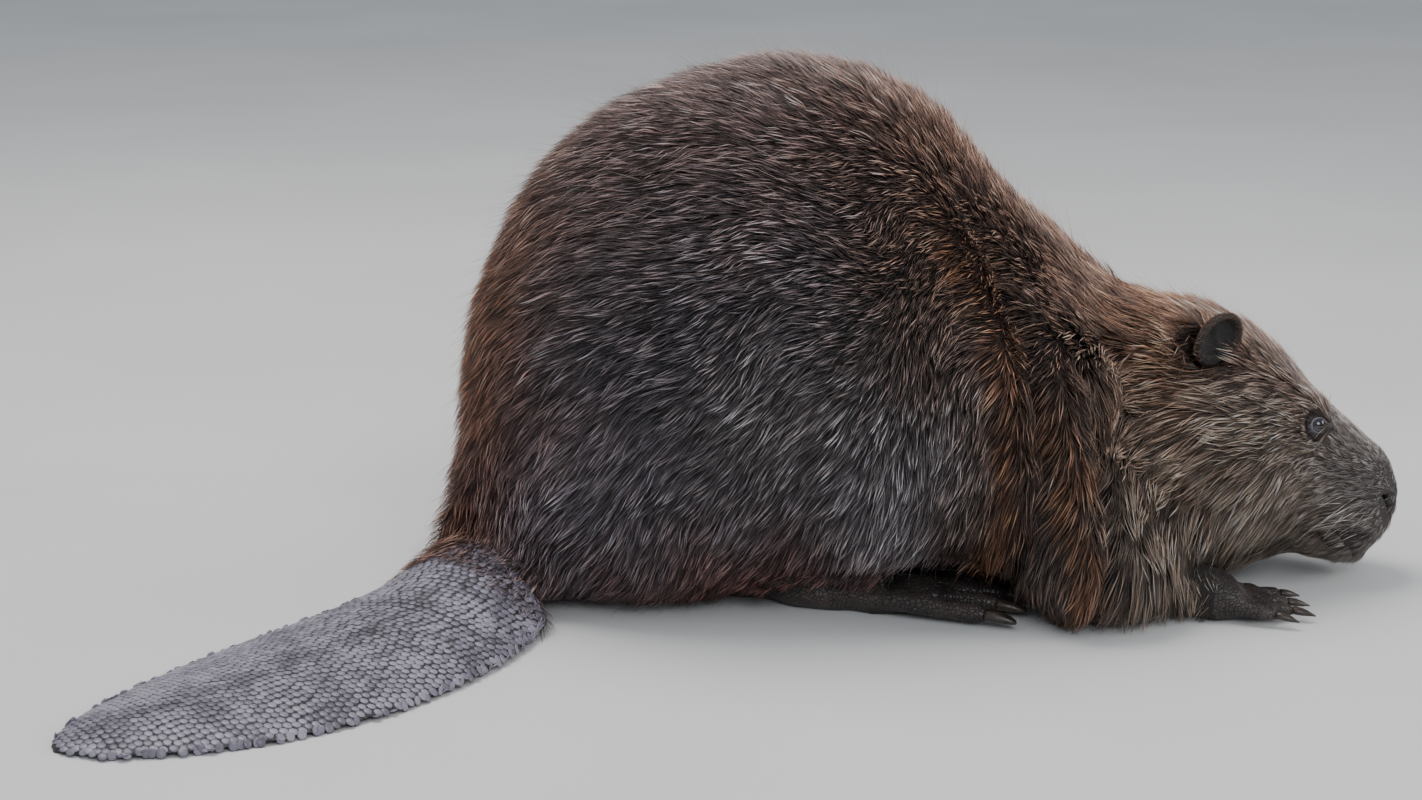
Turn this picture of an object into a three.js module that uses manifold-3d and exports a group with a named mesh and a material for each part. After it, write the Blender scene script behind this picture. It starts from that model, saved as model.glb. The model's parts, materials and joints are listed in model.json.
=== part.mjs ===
// An adult Eurasian beaver, life size, hunched at the water's edge with its flat tail swung out to its right.
//
// Millimetres. +X points where the nose points, +Y to the animal's left and +Z up. The floor is z = 0, and
// every foot and the tail stand on small flats at that level. Each solid is the outer shape of the coat, not of
// the skin.
//
// The flesh is one field: a function of (x, y, z) that is below zero inside the animal and close to a distance
// in millimetres outside it. Muscles and pads are ellipsoids and tapered capsules, melted together. The field is
// turned into faces once for each part, at a cell size that suits the part, and thin cuts divide the parts.
import * as THREE from "three";
import { mergeVertices } from "three/addons/utils/BufferGeometryUtils.js";
import Module from "manifold-3d";

const wasm = await Module();
wasm.setup();

// ---------------------------------------------------------------- driving sizes
const CUT = 0.4; // width of the thin cut between two parts
const BACK_HEIGHT = 304; // top of the hunched back over the floor
const TAIL_LENGTH = 296; // scaly part only
const TAIL_WIDTH = 140;
const TAIL_THICKNESS = 24; // at the keel, where the scales begin
const TAIL_ROOT_RISE = 26; // how much the hidden root stands above that
const TAIL_HEADING = 247; // at its root, in degrees from +X, seen from above
const TAIL_BEND = 35; // how far it turns between root and tip
const TAIL_CUT = 228; // heading across which the fur ends
const EYE_RADIUS = 6;
const EAR_HEIGHT = 33;
const HIND_FOOT_LENGTH = 196; // heel to claw tips
const HAND_LENGTH = 70; // wrist to claw tips
const TOE_SPREAD = 6; // degrees between one toe of a hind foot and the next
const FINGER_SPREAD = 13;
const HIND_TOE = { radius: 8, tip: 6, claw: 17, nail: 3.8, droop: 3 }; // droop in degrees
const FINGER = { radius: 6.2, tip: 4.6, claw: 12, nail: 2.6, droop: 5 };

// Cell sizes, which set how fine the faces are.
const TRUNK_CELL = 33;
const LIMB_CELL = 18;
const HEAD_CELL = 14;
const FOOT_CELL = 14;
const HAND_CELL = 12;
const SOCKET_CELL = 14;

const radians = THREE.MathUtils.degToRad;

// ---------------------------------------------------------------- fields
// An ellipsoid, turned by yaw about +Z and then tipped by pitch about its own left-right axis.
function ellipsoid([cx, cy, cz], [rx, ry, rz], yaw = 0, pitch = 0) {
  const inverse = new THREE.Matrix4()
    .makeRotationFromEuler(new THREE.Euler(0, radians(-pitch), radians(yaw), "ZYX"))
    .transpose().elements;
  return (x, y, z) => {
    const dx = x - cx;
    const dy = y - cy;
    const dz = z - cz;
    const lx = (inverse[0] * dx + inverse[4] * dy + inverse[8] * dz) / rx;
    const ly = (inverse[1] * dx + inverse[5] * dy + inverse[9] * dz) / ry;
    const lz = (inverse[2] * dx + inverse[6] * dy + inverse[10] * dz) / rz;
    const near = Math.hypot(lx, ly, lz);
    const slope = Math.hypot(lx / rx, ly / ry, lz / rz);
    return slope === 0 ? -Math.min(rx, ry, rz) : (near * (near - 1)) / slope;
  };
}

// A tapered capsule from a to b.
function limb([ax, ay, az], ra, [bx, by, bz], rb) {
  const ux = bx - ax;
  const uy = by - ay;
  const uz = bz - az;
  const square = ux * ux + uy * uy + uz * uz;
  return (x, y, z) => {
    const along = ((x - ax) * ux + (y - ay) * uy + (z - az) * uz) / square;
    const t = Math.min(1, Math.max(0, along));
    return Math.hypot(x - ax - t * ux, y - ay - t * uy, z - az - t * uz) - ra - t * (rb - ra);
  };
}

// Several fields melted together, with fillets about `soft` millimetres wide.
function melt(soft, ...fields) {
  return (x, y, z) => {
    let value = fields[0](x, y, z);
    for (let i = 1; i < fields.length; i++) {
      const other = fields[i](x, y, z);
      const h = Math.max(soft - Math.abs(value - other), 0) / soft;
      value = Math.min(value, other) - (h * h * soft) / 4;
    }
    return value;
  };
}

// A field drawn in a part's own axes, set down in the animal.
function placed(field, matrix) {
  const e = matrix.clone().invert().elements;
  return (x, y, z) =>
    field(
      e[0] * x + e[4] * y + e[8] * z + e[12],
      e[1] * x + e[5] * y + e[9] * z + e[13],
      e[2] * x + e[6] * y + e[10] * z + e[14],
    );
}

function frameAt([x, y, z], yaw = 0, pitch = 0, roll = 0) {
  const turn = new THREE.Euler(radians(roll), radians(-pitch), radians(yaw), "ZYX");
  return new THREE.Matrix4().makeRotationFromEuler(turn).setPosition(x, y, z);
}

const bothSides = (make) => [make(-1), make(1)]; // -1 is the animal's right

// ---------------------------------------------------------------- trunk and neck
const rump = ellipsoid([-20, -2, 150], [113, 117, 123], 12);
const seat = ellipsoid([-66, 4, 70], [71, 84, 66]);
const loin = ellipsoid([53, 6, BACK_HEIGHT - 121.5], [121, 105, 119], 6);
const belly = ellipsoid([44, 4, 118], [146, 118, 98], 6);
const tailRoot = melt(
  30,
  limb([-70, -10, 100], 76, [-104, -44, 56], 49),
  ellipsoid([-112, -52, 24], [58, 60, 30], 226),
);
const chest = ellipsoid([149, 6, 120], [90, 94, 92], 0, -26);
const nape = limb([194, 2, 103], 70, [266, -10, 101], 55);
const throat = limb([205, -4, 64], 58, [300, -12, 50], 34);
const dewlap = ellipsoid([286, -12, 46], [44, 36, 34]); // long hair that hangs from the jaw
const ruffs = bothSides((side) => ellipsoid([262, side * 54 - 6, 72], [52, 42, 44])); // and from the cheeks
const forequarters = melt(40, chest, nape, throat);
const trunkField = melt(44, melt(60, rump, loin, belly), melt(30, seat, tailRoot), forequarters);

// ---------------------------------------------------------------- head, in its own axes
// Its origin is between the ears and the eyes, on the middle plane, and +X runs towards the nose.
const HEAD_AT = [300, -12, 104];
const headFrame = frameAt(HEAD_AT, 0, -25, -8);
const EYE_AT = [40, 34, 5]; // left eye, head axes
const EAR_AT = [-35, 49, 24];
const headSolid = melt(
  14,
  melt(
    20,
    ellipsoid([-27, 0, -3], [62, 49, 43]),
    limb([8, 0, -3.5], 37, [80, 0, -15.5], 27.5),
    ...bothSides((side) => ellipsoid([0, side * 29, -29], [50, 28, 43])),
    ellipsoid([52, 0, -34], [50, 36, 33], 0, -6),
  ),
  ellipsoid([98, 0, -18], [14, 16, 13], 0, -20),
  ...bothSides((side) => ellipsoid([85, side * 15, -35], [22, 19, 21])),
  ellipsoid([84, 0, -50], [22, 15, 11]),
  ...bothSides((side) => ellipsoid([EYE_AT[0] - 3, side * (EYE_AT[1] - 6), EYE_AT[2] + 8], [15, 8, 6])),
);
const headField = placed(headSolid, headFrame);

// ---------------------------------------------------------------- limbs
// Hind limbs: haunch, shank, and a long webbed foot that points a little away from the body's middle.
const HIND = {
  right: { side: -1, heel: [-12, -52], yaw: -8, haunch: [28, -74, 128], knee: [104, -88, 92] },
  left: { side: 1, heel: [-50, 70], yaw: 16, haunch: [14, 84, 126], knee: [88, 108, 88] },
};
function hindLimb({ side, heel, haunch, knee }) {
  const [hx, hy] = heel;
  return melt(
    30,
    ellipsoid(haunch, [112, 58, 108], 8),
    ellipsoid([haunch[0] - 62, haunch[1] + side * 12, 60], [60, 44, 59]),
    limb(knee, 44, [hx + 26, hy + side * 14, 46], 34),
    ellipsoid([hx + 98, hy + side * 30, 52], [62, 34, 33]), // loose fur over the instep
    limb([hx + 26, hy, 40], 30, [hx + 2, hy - side * 2, 20], 21),
  );
}
function hindFoot({ side, heel, yaw }) {
  const digits = [-2, -1, 0, 1, 2].map((n) => {
    const outer = n * side; // 2 is the outermost toe
    const reach = HIND_FOOT_LENGTH - (outer < 0 ? -14 * outer : 4 * outer);
    return { root: [84, 11 * n, 11.5], heading: TOE_SPREAD * n, length: reach - 84 };
  });
  const sole = melt(
    12,
    limb([4, 0, 17], 19, [70, 0, 16], 19),
    ...digits.map(({ root }) => limb([64, root[1] * 0.8, 14], 13, root, 10)),
  );
  const web = ellipsoid([118, 0, 3.5], [56, 36, 8]);
  return { field: melt(7, sole, web), digits, frame: frameAt([heel[0], heel[1], 0], yaw), size: HIND_TOE };
}

// Forelimbs: upper arm hidden in the chest, forearm lying forward, small five-fingered hand.
const FORE = {
  right: { side: -1, shoulder: [178, -66, 116], elbow: [208, -107, 40], wrist: [262, -92, 19], yaw: 2 },
  left: { side: 1, shoulder: [178, 74, 116], elbow: [204, 102, 40], wrist: [256, 92, 19], yaw: 4 },
};
function foreLimb({ shoulder, elbow, wrist }) {
  return melt(24, limb(shoulder, 48, elbow, 36), limb(elbow, 34, wrist, 20));
}
function hand({ side, wrist, yaw }) {
  const digits = [-2, -1, 0, 1, 2].map((n) => {
    const outer = n * side;
    const reach = HAND_LENGTH - (Math.abs(n) === 2 ? 10 : 0) - (outer === -2 ? 8 : 0);
    return { root: [24, 7.5 * n, 9], heading: FINGER_SPREAD * n, length: reach - 24 };
  });
  const palm = melt(
    9,
    limb([0, 0, 17], 16, [16, 0, 12], 14),
    ...digits.map(({ root }) => limb([10, root[1] * 0.7, 11], 10, root, 7.5)),
  );
  return { field: palm, digits, frame: frameAt([wrist[0], wrist[1], 0], yaw), size: FINGER };
}

// The flank's loose skin folds between the knee and the elbow.
const flankFolds = bothSides((side) => limb([176, side * 78, 128], 40, [172, side * 88, 46], 28));

const feet = {
  hind_foot_right: hindFoot(HIND.right),
  hind_foot_left: hindFoot(HIND.left),
  hand_right: hand(FORE.right),
  hand_left: hand(FORE.left),
};

// All the furry flesh, without the feet, the hands, the ears and the bare tail.
const bodyField = melt(
  24,
  melt(
    12,
    melt(18, melt(24, trunkField, hindLimb(HIND.right), hindLimb(HIND.left)), ...flankFolds),
    melt(26, headField, melt(50, nape, throat), dewlap, ...ruffs),
  ),
  foreLimb(FORE.right),
  foreLimb(FORE.left),
);

// ---------------------------------------------------------------- field to faces
// Dual marching cubes. A grid cell that the surface crosses gets one vertex for each separate sheet of it,
// drawn onto the surface, and each grid edge that it crosses gets a quad between the vertices of its four
// cells. A corner of a cell is three bits, x = 1, y = 2 and z = 4. An edge is its lower corner and its axis.
const edgeKey = (corner, axis) => corner * 3 + axis;
const FACES = [0, 1, 2].flatMap((axis) => {
  const b = 1 << ((axis + 1) % 3);
  const c = 1 << ((axis + 2) % 3);
  return [0, 1 << axis].map((base) => [base, base | b, base | b | c, base | c]);
});
function edgeBetween(cornerA, cornerB) {
  return edgeKey(Math.min(cornerA, cornerB), Math.log2(cornerA ^ cornerB));
}

// The crossed edges of a cell, in groups: each run of inside corners round a face joins the edges at its ends.
function sheetsOf(inside) {
  const sheet = new Map();
  const find = (edge) => (sheet.get(edge) === edge ? edge : find(sheet.get(edge)));
  for (const face of FACES)
    for (let q = 0; q < 4; q++) {
      if (!inside[face[q]] || inside[face[(q + 3) % 4]]) continue;
      let last = q;
      while (inside[face[(last + 1) % 4]]) last++;
      const first = edgeBetween(face[(q + 3) % 4], face[q]);
      const final = edgeBetween(face[last % 4], face[(last + 1) % 4]);
      for (const edge of [first, final]) if (!sheet.has(edge)) sheet.set(edge, edge);
      sheet.set(find(first), find(final));
    }
  const groups = new Map();
  for (const edge of sheet.keys()) {
    const root = find(edge);
    groups.set(root, [...(groups.get(root) ?? []), edge]);
  }
  return [...groups.values()];
}

function surfaceOf(field, low, high, cell) {
  const [nx, ny, nz] = low.map((l, k) => Math.ceil((high[k] - l) / cell) + 1);
  const at = (i, j, k) => (k * ny + j) * nx + i;
  const values = new Float32Array(nx * ny * nz);
  for (let k = 0; k < nz; k++)
    for (let j = 0; j < ny; j++)
      for (let i = 0; i < nx; i++) {
        const edge = i === 0 || j === 0 || k === 0 || i === nx - 1 || j === ny - 1 || k === nz - 1;
        const value = field(low[0] + i * cell, low[1] + j * cell, low[2] + k * cell);
        values[at(i, j, k)] = edge ? Math.max(value, cell / 2) : value;
      }
  const cornerStep = [0, 1, 2, 3, 4, 5, 6, 7].map((corner) => at(corner & 1, (corner >> 1) & 1, corner >> 2));
  const positions = [];
  const vertexOf = new Map(); // from a cell and one of its edges
  for (let k = 0; k < nz - 1; k++)
    for (let j = 0; j < ny - 1; j++)
      for (let i = 0; i < nx - 1; i++) {
        const here = at(i, j, k);
        const corners = cornerStep.map((step) => values[here + step]);
        for (const edges of sheetsOf(corners.map((value) => value < 0))) {
          const middle = [0, 0, 0];
          for (const edge of edges) {
            const corner = Math.floor(edge / 3);
            const axis = edge % 3;
            const a = corners[corner];
            const b = corners[corner | (1 << axis)];
            const point = [corner & 1, (corner >> 1) & 1, corner >> 2];
            point[axis] = a / (a - b);
            point.forEach((value, n) => (middle[n] += value / edges.length));
            vertexOf.set(here * 24 + edge, positions.length / 3);
          }
          const p = [i, j, k].map((value, n) => low[n] + (value + middle[n]) * cell);
          positions.push(...ontoSurface(field, p, cell));
        }
      }
  const index = [];
  for (let k = 0; k < nz - 1; k++)
    for (let j = 0; j < ny - 1; j++)
      for (let i = 0; i < nx - 1; i++)
        for (let axis = 0; axis < 3; axis++) {
          const here = at(i, j, k);
          const inside = values[here] < 0;
          if (inside === values[here + cornerStep[1 << axis]] < 0) continue;
          const b = 1 << ((axis + 1) % 3);
          const c = 1 << ((axis + 2) % 3);
          const around = [b | c, c, 0, b]; // the edge's lower corner, seen from each of its four cells
          const quad = around.map((corner) =>
            vertexOf.get((here - cornerStep[corner]) * 24 + edgeKey(corner, axis)),
          );
          if (!inside) quad.reverse();
          pushQuad(index, positions, quad);
        }
  const geometry = new THREE.BufferGeometry();
  geometry.setAttribute("position", new THREE.Float32BufferAttribute(positions, 3));
  geometry.setIndex(index);
  return geometry;
}

// Two Newton steps towards the surface, kept within half a cell so that faces don't fold over.
function ontoSurface(field, start, cell) {
  const h = 0.2;
  let p = start;
  for (let step = 0; step < 2; step++) {
    const [x, y, z] = p;
    const slope = [
      (field(x + h, y, z) - field(x - h, y, z)) / (2 * h),
      (field(x, y + h, z) - field(x, y - h, z)) / (2 * h),
      (field(x, y, z + h) - field(x, y, z - h)) / (2 * h),
    ];
    const square = Math.max(0.05, slope[0] ** 2 + slope[1] ** 2 + slope[2] ** 2);
    const move = THREE.MathUtils.clamp(field(x, y, z) / square, -cell / 3, cell / 3);
    p = p.map((value, n) =>
      THREE.MathUtils.clamp(value - move * slope[n], start[n] - cell / 2, start[n] + cell / 2),
    );
  }
  return p;
}

function pushQuad(index, positions, [a, b, c, d]) {
  const apart = (m, n) =>
    Math.hypot(...[0, 1, 2].map((axis) => positions[3 * m + axis] - positions[3 * n + axis]));
  if (apart(a, c) < apart(b, d)) index.push(a, b, c, a, c, d);
  else index.push(a, b, d, b, c, d);
}

// ---------------------------------------------------------------- solids: joins and cuts
function solidOf(geometry, matrix = new THREE.Matrix4()) {
  const bare = geometry.clone().applyMatrix4(matrix);
  bare.deleteAttribute("normal");
  bare.deleteAttribute("uv");
  const merged = mergeVertices(bare, 1e-4);
  return new wasm.Manifold(
    new wasm.Mesh({
      numProp: 3,
      vertProperties: merged.attributes.position.array,
      triVerts: new Uint32Array(merged.index.array),
    }),
  );
}

function geometryOf(solid) {
  const mesh = solid.getMesh();
  const geometry = new THREE.BufferGeometry();
  geometry.setAttribute("position", new THREE.BufferAttribute(mesh.vertProperties.slice(), 3));
  geometry.setIndex(new THREE.BufferAttribute(mesh.triVerts.slice(), 1));
  geometry.computeVertexNormals();
  return geometry;
}

const largest = (solid) =>
  solid.decompose().reduce((best, next) => (next.volume() > best.volume() ? next : best));

// A box from corner to corner, in a frame's axes.
function boxSolid(low, high, frame = new THREE.Matrix4()) {
  const size = high.map((value, k) => value - low[k]);
  const middle = high.map((value, k) => (value + low[k]) / 2);
  return solidOf(new THREE.BoxGeometry(...size).translate(...middle), frame);
}

// A sphere stretched to three radii, in a frame's axes, with a number of faces round it.
function roundSolid(radii, frame, around = 16) {
  return solidOf(new THREE.SphereGeometry(1, around, around / 2 + 1).scale(...radii), frame);
}

const WIDE = 500; // reaches past the animal

// ---------------------------------------------------------------- tail
// A sphere whose rings run from the root to the tip, laid along an arc of a circle on the floor.
const TAIL_BASE = [-127, -77]; // where the scales begin, on the middle line
const TAIL_HIDDEN = 46; // length of the root inside the fur
function tailAxis(s) {
  const bend = radians(TAIL_BEND) / TAIL_LENGTH;
  const start = radians(TAIL_HEADING);
  const heading = start - bend * s;
  return {
    x: TAIL_BASE[0] + (Math.sin(start) - Math.sin(heading)) / bend,
    y: TAIL_BASE[1] + (Math.cos(heading) - Math.cos(start)) / bend,
    heading,
  };
}
function tailHalfWidth(s) {
  const t = s / TAIL_LENGTH;
  const swell = 0.82 + 0.18 * Math.sin(Math.PI * THREE.MathUtils.clamp(t / 0.9, 0, 1));
  const tip = Math.sqrt(Math.max(0, 1 - Math.max(0, (t - 0.4) / 0.6) ** 2.4));
  const root = Math.sqrt(THREE.MathUtils.clamp((s + TAIL_HIDDEN) / 30, 0, 1));
  return (TAIL_WIDTH / 2) * swell * tip * root;
}
function tailTop(s, across) {
  const t = THREE.MathUtils.clamp(s / TAIL_LENGTH, 0, 1);
  const keel = THREE.MathUtils.lerp(TAIL_THICKNESS, 9, t ** 0.8);
  const edge = THREE.MathUtils.lerp(7, 4, t);
  const rise = TAIL_ROOT_RISE * Math.exp(-(Math.max(0, s + TAIL_HIDDEN) ** 2) / 5200);
  return edge + (keel - edge) * (1 - Math.abs(across) ** 1.8) + rise * (1 - across * across);
}
function tailGeometry() {
  const shape = new THREE.SphereGeometry(1, 18, 15);
  const position = shape.attributes.position;
  for (let i = 0; i < position.count; i++) {
    const s = ((1 - position.getY(i)) / 2) * (TAIL_LENGTH + TAIL_HIDDEN) - TAIL_HIDDEN;
    const ring = Math.hypot(position.getX(i), position.getZ(i));
    const across = ring ? position.getX(i) / ring : 0;
    const half = tailTop(s, across) * 0.5 * Math.min(1, ring * 1.6);
    const under = half * THREE.MathUtils.clamp((Math.abs(across) - 0.75) / 0.25, 0, 1) ** 2;
    const over = half * (1 + Math.sqrt(1 - Math.min(1, Math.abs(across)) ** 3));
    const { x, y, heading } = tailAxis(s);
    const side = across * tailHalfWidth(s);
    const z = position.getZ(i) > 0 ? over : under;
    position.setXYZ(i, x - side * Math.sin(heading), y + side * Math.cos(heading), z);
  }
  return shape;
}

// ---------------------------------------------------------------- toes and claws
// A digit and its claw are one turned shape, along +X from its root.
function digitGeometry(length, { radius, tip, claw, nail }) {
  const flesh = length - claw;
  const profile = [
    [0, -radius * 0.6],
    [radius, 0],
    [tip, flesh - tip * 0.6],
    [nail, flesh],
    [0, length],
  ].map(([r, h]) => new THREE.Vector2(r, h));
  return new THREE.LatheGeometry(profile, 6).rotateZ(-Math.PI / 2);
}
function withDigits(solid, { digits, frame, size }) {
  const shapes = digits.map(({ root, heading, length }) =>
    solidOf(digitGeometry(length, size), frame.clone().multiply(frameAt(root, heading, -size.droop))),
  );
  return shapes.reduce((sum, shape) => sum.add(shape), solid);
}

// ---------------------------------------------------------------- ears and eyes
// An ear is a round cup that opens forwards and outwards, on a short stem.
const EAR_TURN = 26; // degrees that the cup opens away from straight outwards, towards the nose
function earFrame(side) {
  const at = [EAR_AT[0], side * EAR_AT[1], EAR_AT[2]];
  return headFrame.clone().multiply(frameAt(at, -side * EAR_TURN, 14, side * -10));
}
function earSolid(side, grow = 0) {
  const frame = earFrame(side);
  const inFrame = (at) => frame.clone().multiply(frameAt(at));
  const [wide, thick, tall] = [EAR_HEIGHT * 0.43, 7, EAR_HEIGHT / 2];
  const cup = roundSolid([wide + grow, thick + grow, tall + grow], inFrame([0, 0, 0]), 10);
  const stem = roundSolid([9 + grow, 16 + grow, 10 + grow], inFrame([-2, -side * 8, -7]), 8);
  if (grow) return cup.add(stem);
  const hollow = roundSolid([wide * 0.72, thick, tall * 0.76], inFrame([1, side * thick * 0.75, 1]), 8);
  return cup.add(stem).subtract(hollow);
}
const eyeFrame = (side) =>
  headFrame.clone().multiply(frameAt([EYE_AT[0], side * EYE_AT[1], EYE_AT[2]]));
const eyeSolid = (side, grow = 0) => roundSolid(Array(3).fill(EYE_RADIUS + grow), eyeFrame(side), 10);

// ---------------------------------------------------------------- parts
const HIDDEN_GAP = 4.5; // clearance round a foot where it is sunk in the fur
const parts = {};
const FLOOR = boxSolid([-WIDE, -WIDE, 0], [WIDE, WIDE, WIDE]);
const onFloor = (solid) => solid.intersect(FLOOR);
const grown = (field, by) => (x, y, z) => field(x, y, z) - by;
function fieldSolid(field, low, high, cell, frame) {
  return solidOf(surfaceOf(field, low, high, cell), frame);
}

const NECK_X = 202; // planes between trunk, neck and head
const HEAD_X = 250;
const between = (from, to) => boxSolid([from, -WIDE, -WIDE], [to, WIDE, WIDE]);

// Cutters for the limbs. What a limb is cut from gives way by the width of the cut.
const haunchCutter = ({ haunch, side }, grow = 0) =>
  roundSolid(
    [124, 66, 128].map((radius) => radius + grow),
    frameAt([haunch[0] + 6, side * 116, 88], 8),
  );
const armCutter = ({ side, elbow }, grow = 0) =>
  roundSolid(
    [84, 46, 62].map((radius) => radius + grow),
    frameAt([elbow[0] + 12, side * 112, 46], 0, -18),
    12,
  );
const handCutter = ({ frame }, grow = 0) =>
  boxSolid([-grow, -42 - grow, -20], [140, 42 + grow, 36 + grow], frame);
const tailCutter = (start) =>
  boxSolid([start, -110, -WIDE], [WIDE, 110, 90], frameAt([...TAIL_BASE, 0], TAIL_CUT));

const coarse = onFloor(fieldSolid(bodyField, [-190, -175, -30], [440, 180, 330], TRUNK_CELL));
const fineHead = onFloor(fieldSolid(bodyField, [232, -90, -12], [420, 70, 220], HEAD_CELL));

const footSolid = (foot, cell) =>
  onFloor(withDigits(fieldSolid(foot.field, [-40, -60, -14], [190, 60, 50], cell, foot.frame), foot));
function footSocket(foot) {
  const { radius, tip } = foot.size;
  const size = { ...foot.size, radius: radius + HIDDEN_GAP, tip: tip + HIDDEN_GAP };
  const field = grown(foot.field, HIDDEN_GAP);
  const solid = fieldSolid(field, [-40, -60, -14], [190, 60, 50], SOCKET_CELL, foot.frame);
  return withDigits(solid, { ...foot, size });
}
parts.hind_foot_right = footSolid(feet.hind_foot_right, FOOT_CELL);
parts.hind_foot_left = footSolid(feet.hind_foot_left, FOOT_CELL);
const furry = coarse
  .subtract(footSocket(feet.hind_foot_right))
  .subtract(footSocket(feet.hind_foot_left))
  .subtract(tailCutter(-CUT));
const armsOut = armCutter(FORE.right, CUT).add(armCutter(FORE.left, CUT));
const haunchesOut = haunchCutter(HIND.right, CUT).add(haunchCutter(HIND.left, CUT));
for (const [side, low, high] of [
  ["right", [120, -170, -12], [330, -40, 150]],
  ["left", [120, 40, -12], [330, 170, 150]],
]) {
  const foot = feet[`hand_${side}`];
  parts[`hand_${side}`] = footSolid(foot, HAND_CELL).intersect(handCutter(foot));
  const arm = onFloor(fieldSolid(bodyField, low, high, LIMB_CELL)).intersect(armCutter(FORE[side]));
  parts[`foreleg_${side}`] = largest(arm.subtract(handCutter(foot, CUT)));
  parts[`haunch_${side}`] = largest(furry.intersect(haunchCutter(HIND[side])).subtract(armsOut));
}
parts.trunk = largest(furry.intersect(between(-WIDE, NECK_X)).subtract(armsOut).subtract(haunchesOut));
parts.neck = largest(furry.intersect(between(NECK_X + CUT, HEAD_X)).subtract(armsOut));
parts.tail = solidOf(tailGeometry()).intersect(tailCutter(0));

let head = fineHead
  .intersect(between(HEAD_X + CUT, WIDE))
  .subtract(armsOut)
  .subtract(handCutter(feet.hand_right, CUT))
  .subtract(handCutter(feet.hand_left, CUT));
for (const [name, side] of [["right", -1], ["left", 1]]) {
  head = head.subtract(eyeSolid(side, CUT)).subtract(earSolid(side, CUT));
  parts[`ear_${name}`] = earSolid(side);
  parts[`eye_${name}`] = eyeSolid(side);
}
parts.head = largest(head);

// ---------------------------------------------------------------- the animal
const FINISHES = {
  fur: { color: 0x5e4a42, roughness: 0.85 },
  bare: { color: 0x34302f, roughness: 0.6 },
  scales: { color: 0x6f6d72, roughness: 0.55 },
  eye: { color: 0x120e0c, roughness: 0.08 },
};
const FINISH_OF = { tail: "scales", ear: "bare", eye: "eye", hand: "bare", hind: "bare" };

const beaver = new THREE.Group();
for (const [name, solid] of Object.entries(parts)) {
  const finish = FINISHES[FINISH_OF[name.split("_")[0]] ?? "fur"];
  const mesh = new THREE.Mesh(geometryOf(solid), new THREE.MeshStandardMaterial({ ...finish, metalness: 0 }));
  mesh.name = name;
  beaver.add(mesh);
}

// The origin is on the floor, under the middle of the whole animal.
const extent = new THREE.Box3().setFromObject(beaver);
const middle = extent.getCenter(new THREE.Vector3());
beaver.position.set(-middle.x, -middle.y, 0);
export default beaver;
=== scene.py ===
# %% [markdown]
# # A beaver, from its solids to its coat
#
# The packed model holds the animal as sixteen plain solids, cut apart where a person would name its
# parts. This lesson dresses them: one closed skin, a coat of small solid locks, scales on the tail,
# horn on the toes, and wet eyes. Everything is in metres, in the packed model's own axes: +X is
# where the nose points, +Y is the animal's left, +Z is up and the floor is z = 0.

import json
import math

import bmesh
import bpy
import numpy as np
from mathutils import Euler, Matrix, Vector
from mathutils.bvhtree import BVHTree
from mathutils.kdtree import KDTree

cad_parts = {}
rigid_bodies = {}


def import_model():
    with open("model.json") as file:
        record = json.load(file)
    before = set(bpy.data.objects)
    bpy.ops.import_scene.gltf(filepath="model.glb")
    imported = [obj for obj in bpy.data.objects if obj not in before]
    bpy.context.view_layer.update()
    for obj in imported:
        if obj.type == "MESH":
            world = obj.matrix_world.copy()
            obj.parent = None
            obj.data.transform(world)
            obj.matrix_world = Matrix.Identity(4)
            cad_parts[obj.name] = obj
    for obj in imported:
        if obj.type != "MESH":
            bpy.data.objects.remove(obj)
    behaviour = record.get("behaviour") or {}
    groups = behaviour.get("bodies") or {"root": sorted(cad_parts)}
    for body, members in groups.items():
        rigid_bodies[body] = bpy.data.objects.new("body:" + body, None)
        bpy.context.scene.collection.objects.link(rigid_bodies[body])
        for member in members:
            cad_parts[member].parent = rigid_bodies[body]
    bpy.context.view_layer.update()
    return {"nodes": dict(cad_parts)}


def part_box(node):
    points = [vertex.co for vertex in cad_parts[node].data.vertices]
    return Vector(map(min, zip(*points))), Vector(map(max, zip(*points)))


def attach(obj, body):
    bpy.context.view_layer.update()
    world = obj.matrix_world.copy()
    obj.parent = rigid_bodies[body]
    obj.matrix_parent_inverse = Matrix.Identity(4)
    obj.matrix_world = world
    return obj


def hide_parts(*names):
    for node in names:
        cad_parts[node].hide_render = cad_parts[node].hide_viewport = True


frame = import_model()
BODY = "root"
MM = 0.001

# %% [markdown]
# ## Where the head is
#
# Lids, nostrils and whiskers are easiest to place in the head's own axes, whose +X runs to the
# nose. The head is tipped nose-down and rolled a little. The two eyeballs are solids with known
# places in those axes, so the middle between them gives the rest. The body's working axes, in which
# the animal was drawn, follow from the head.

# %% Head axes and working axes
HEAD_PITCH = 25  # degrees, nose down
HEAD_ROLL = -8  # right side up
EYE_IN_HEAD = Vector((40, 34, 5)) * MM  # the left eye
HEAD_IN_WORKING = Vector((300, -12, 104)) * MM


def centre_of(node):
    low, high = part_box(node)
    return (low + high) / 2


def on_side(place, side):
    """A place that is given for the left, as it is where side is 1 and mirrored where side is -1."""
    return Vector((place.x, side * place.y, place.z))


pitch = Matrix.Rotation(math.radians(HEAD_PITCH), 4, "Y")
HEAD_TURN = pitch @ Matrix.Rotation(math.radians(HEAD_ROLL), 4, "X")
TURN = np.array(HEAD_TURN)[:3, :3]
between_eyes = (centre_of("eye_right") + centre_of("eye_left")) / 2
head_at = between_eyes - HEAD_TURN @ on_side(EYE_IN_HEAD, 0)
HEAD = Matrix.Translation(head_at) @ HEAD_TURN
SHIFT = head_at - HEAD_IN_WORKING
print("head at", [round(x, 4) for x in head_at], "working axes shifted by", [round(x, 4) for x in SHIFT])

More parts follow.
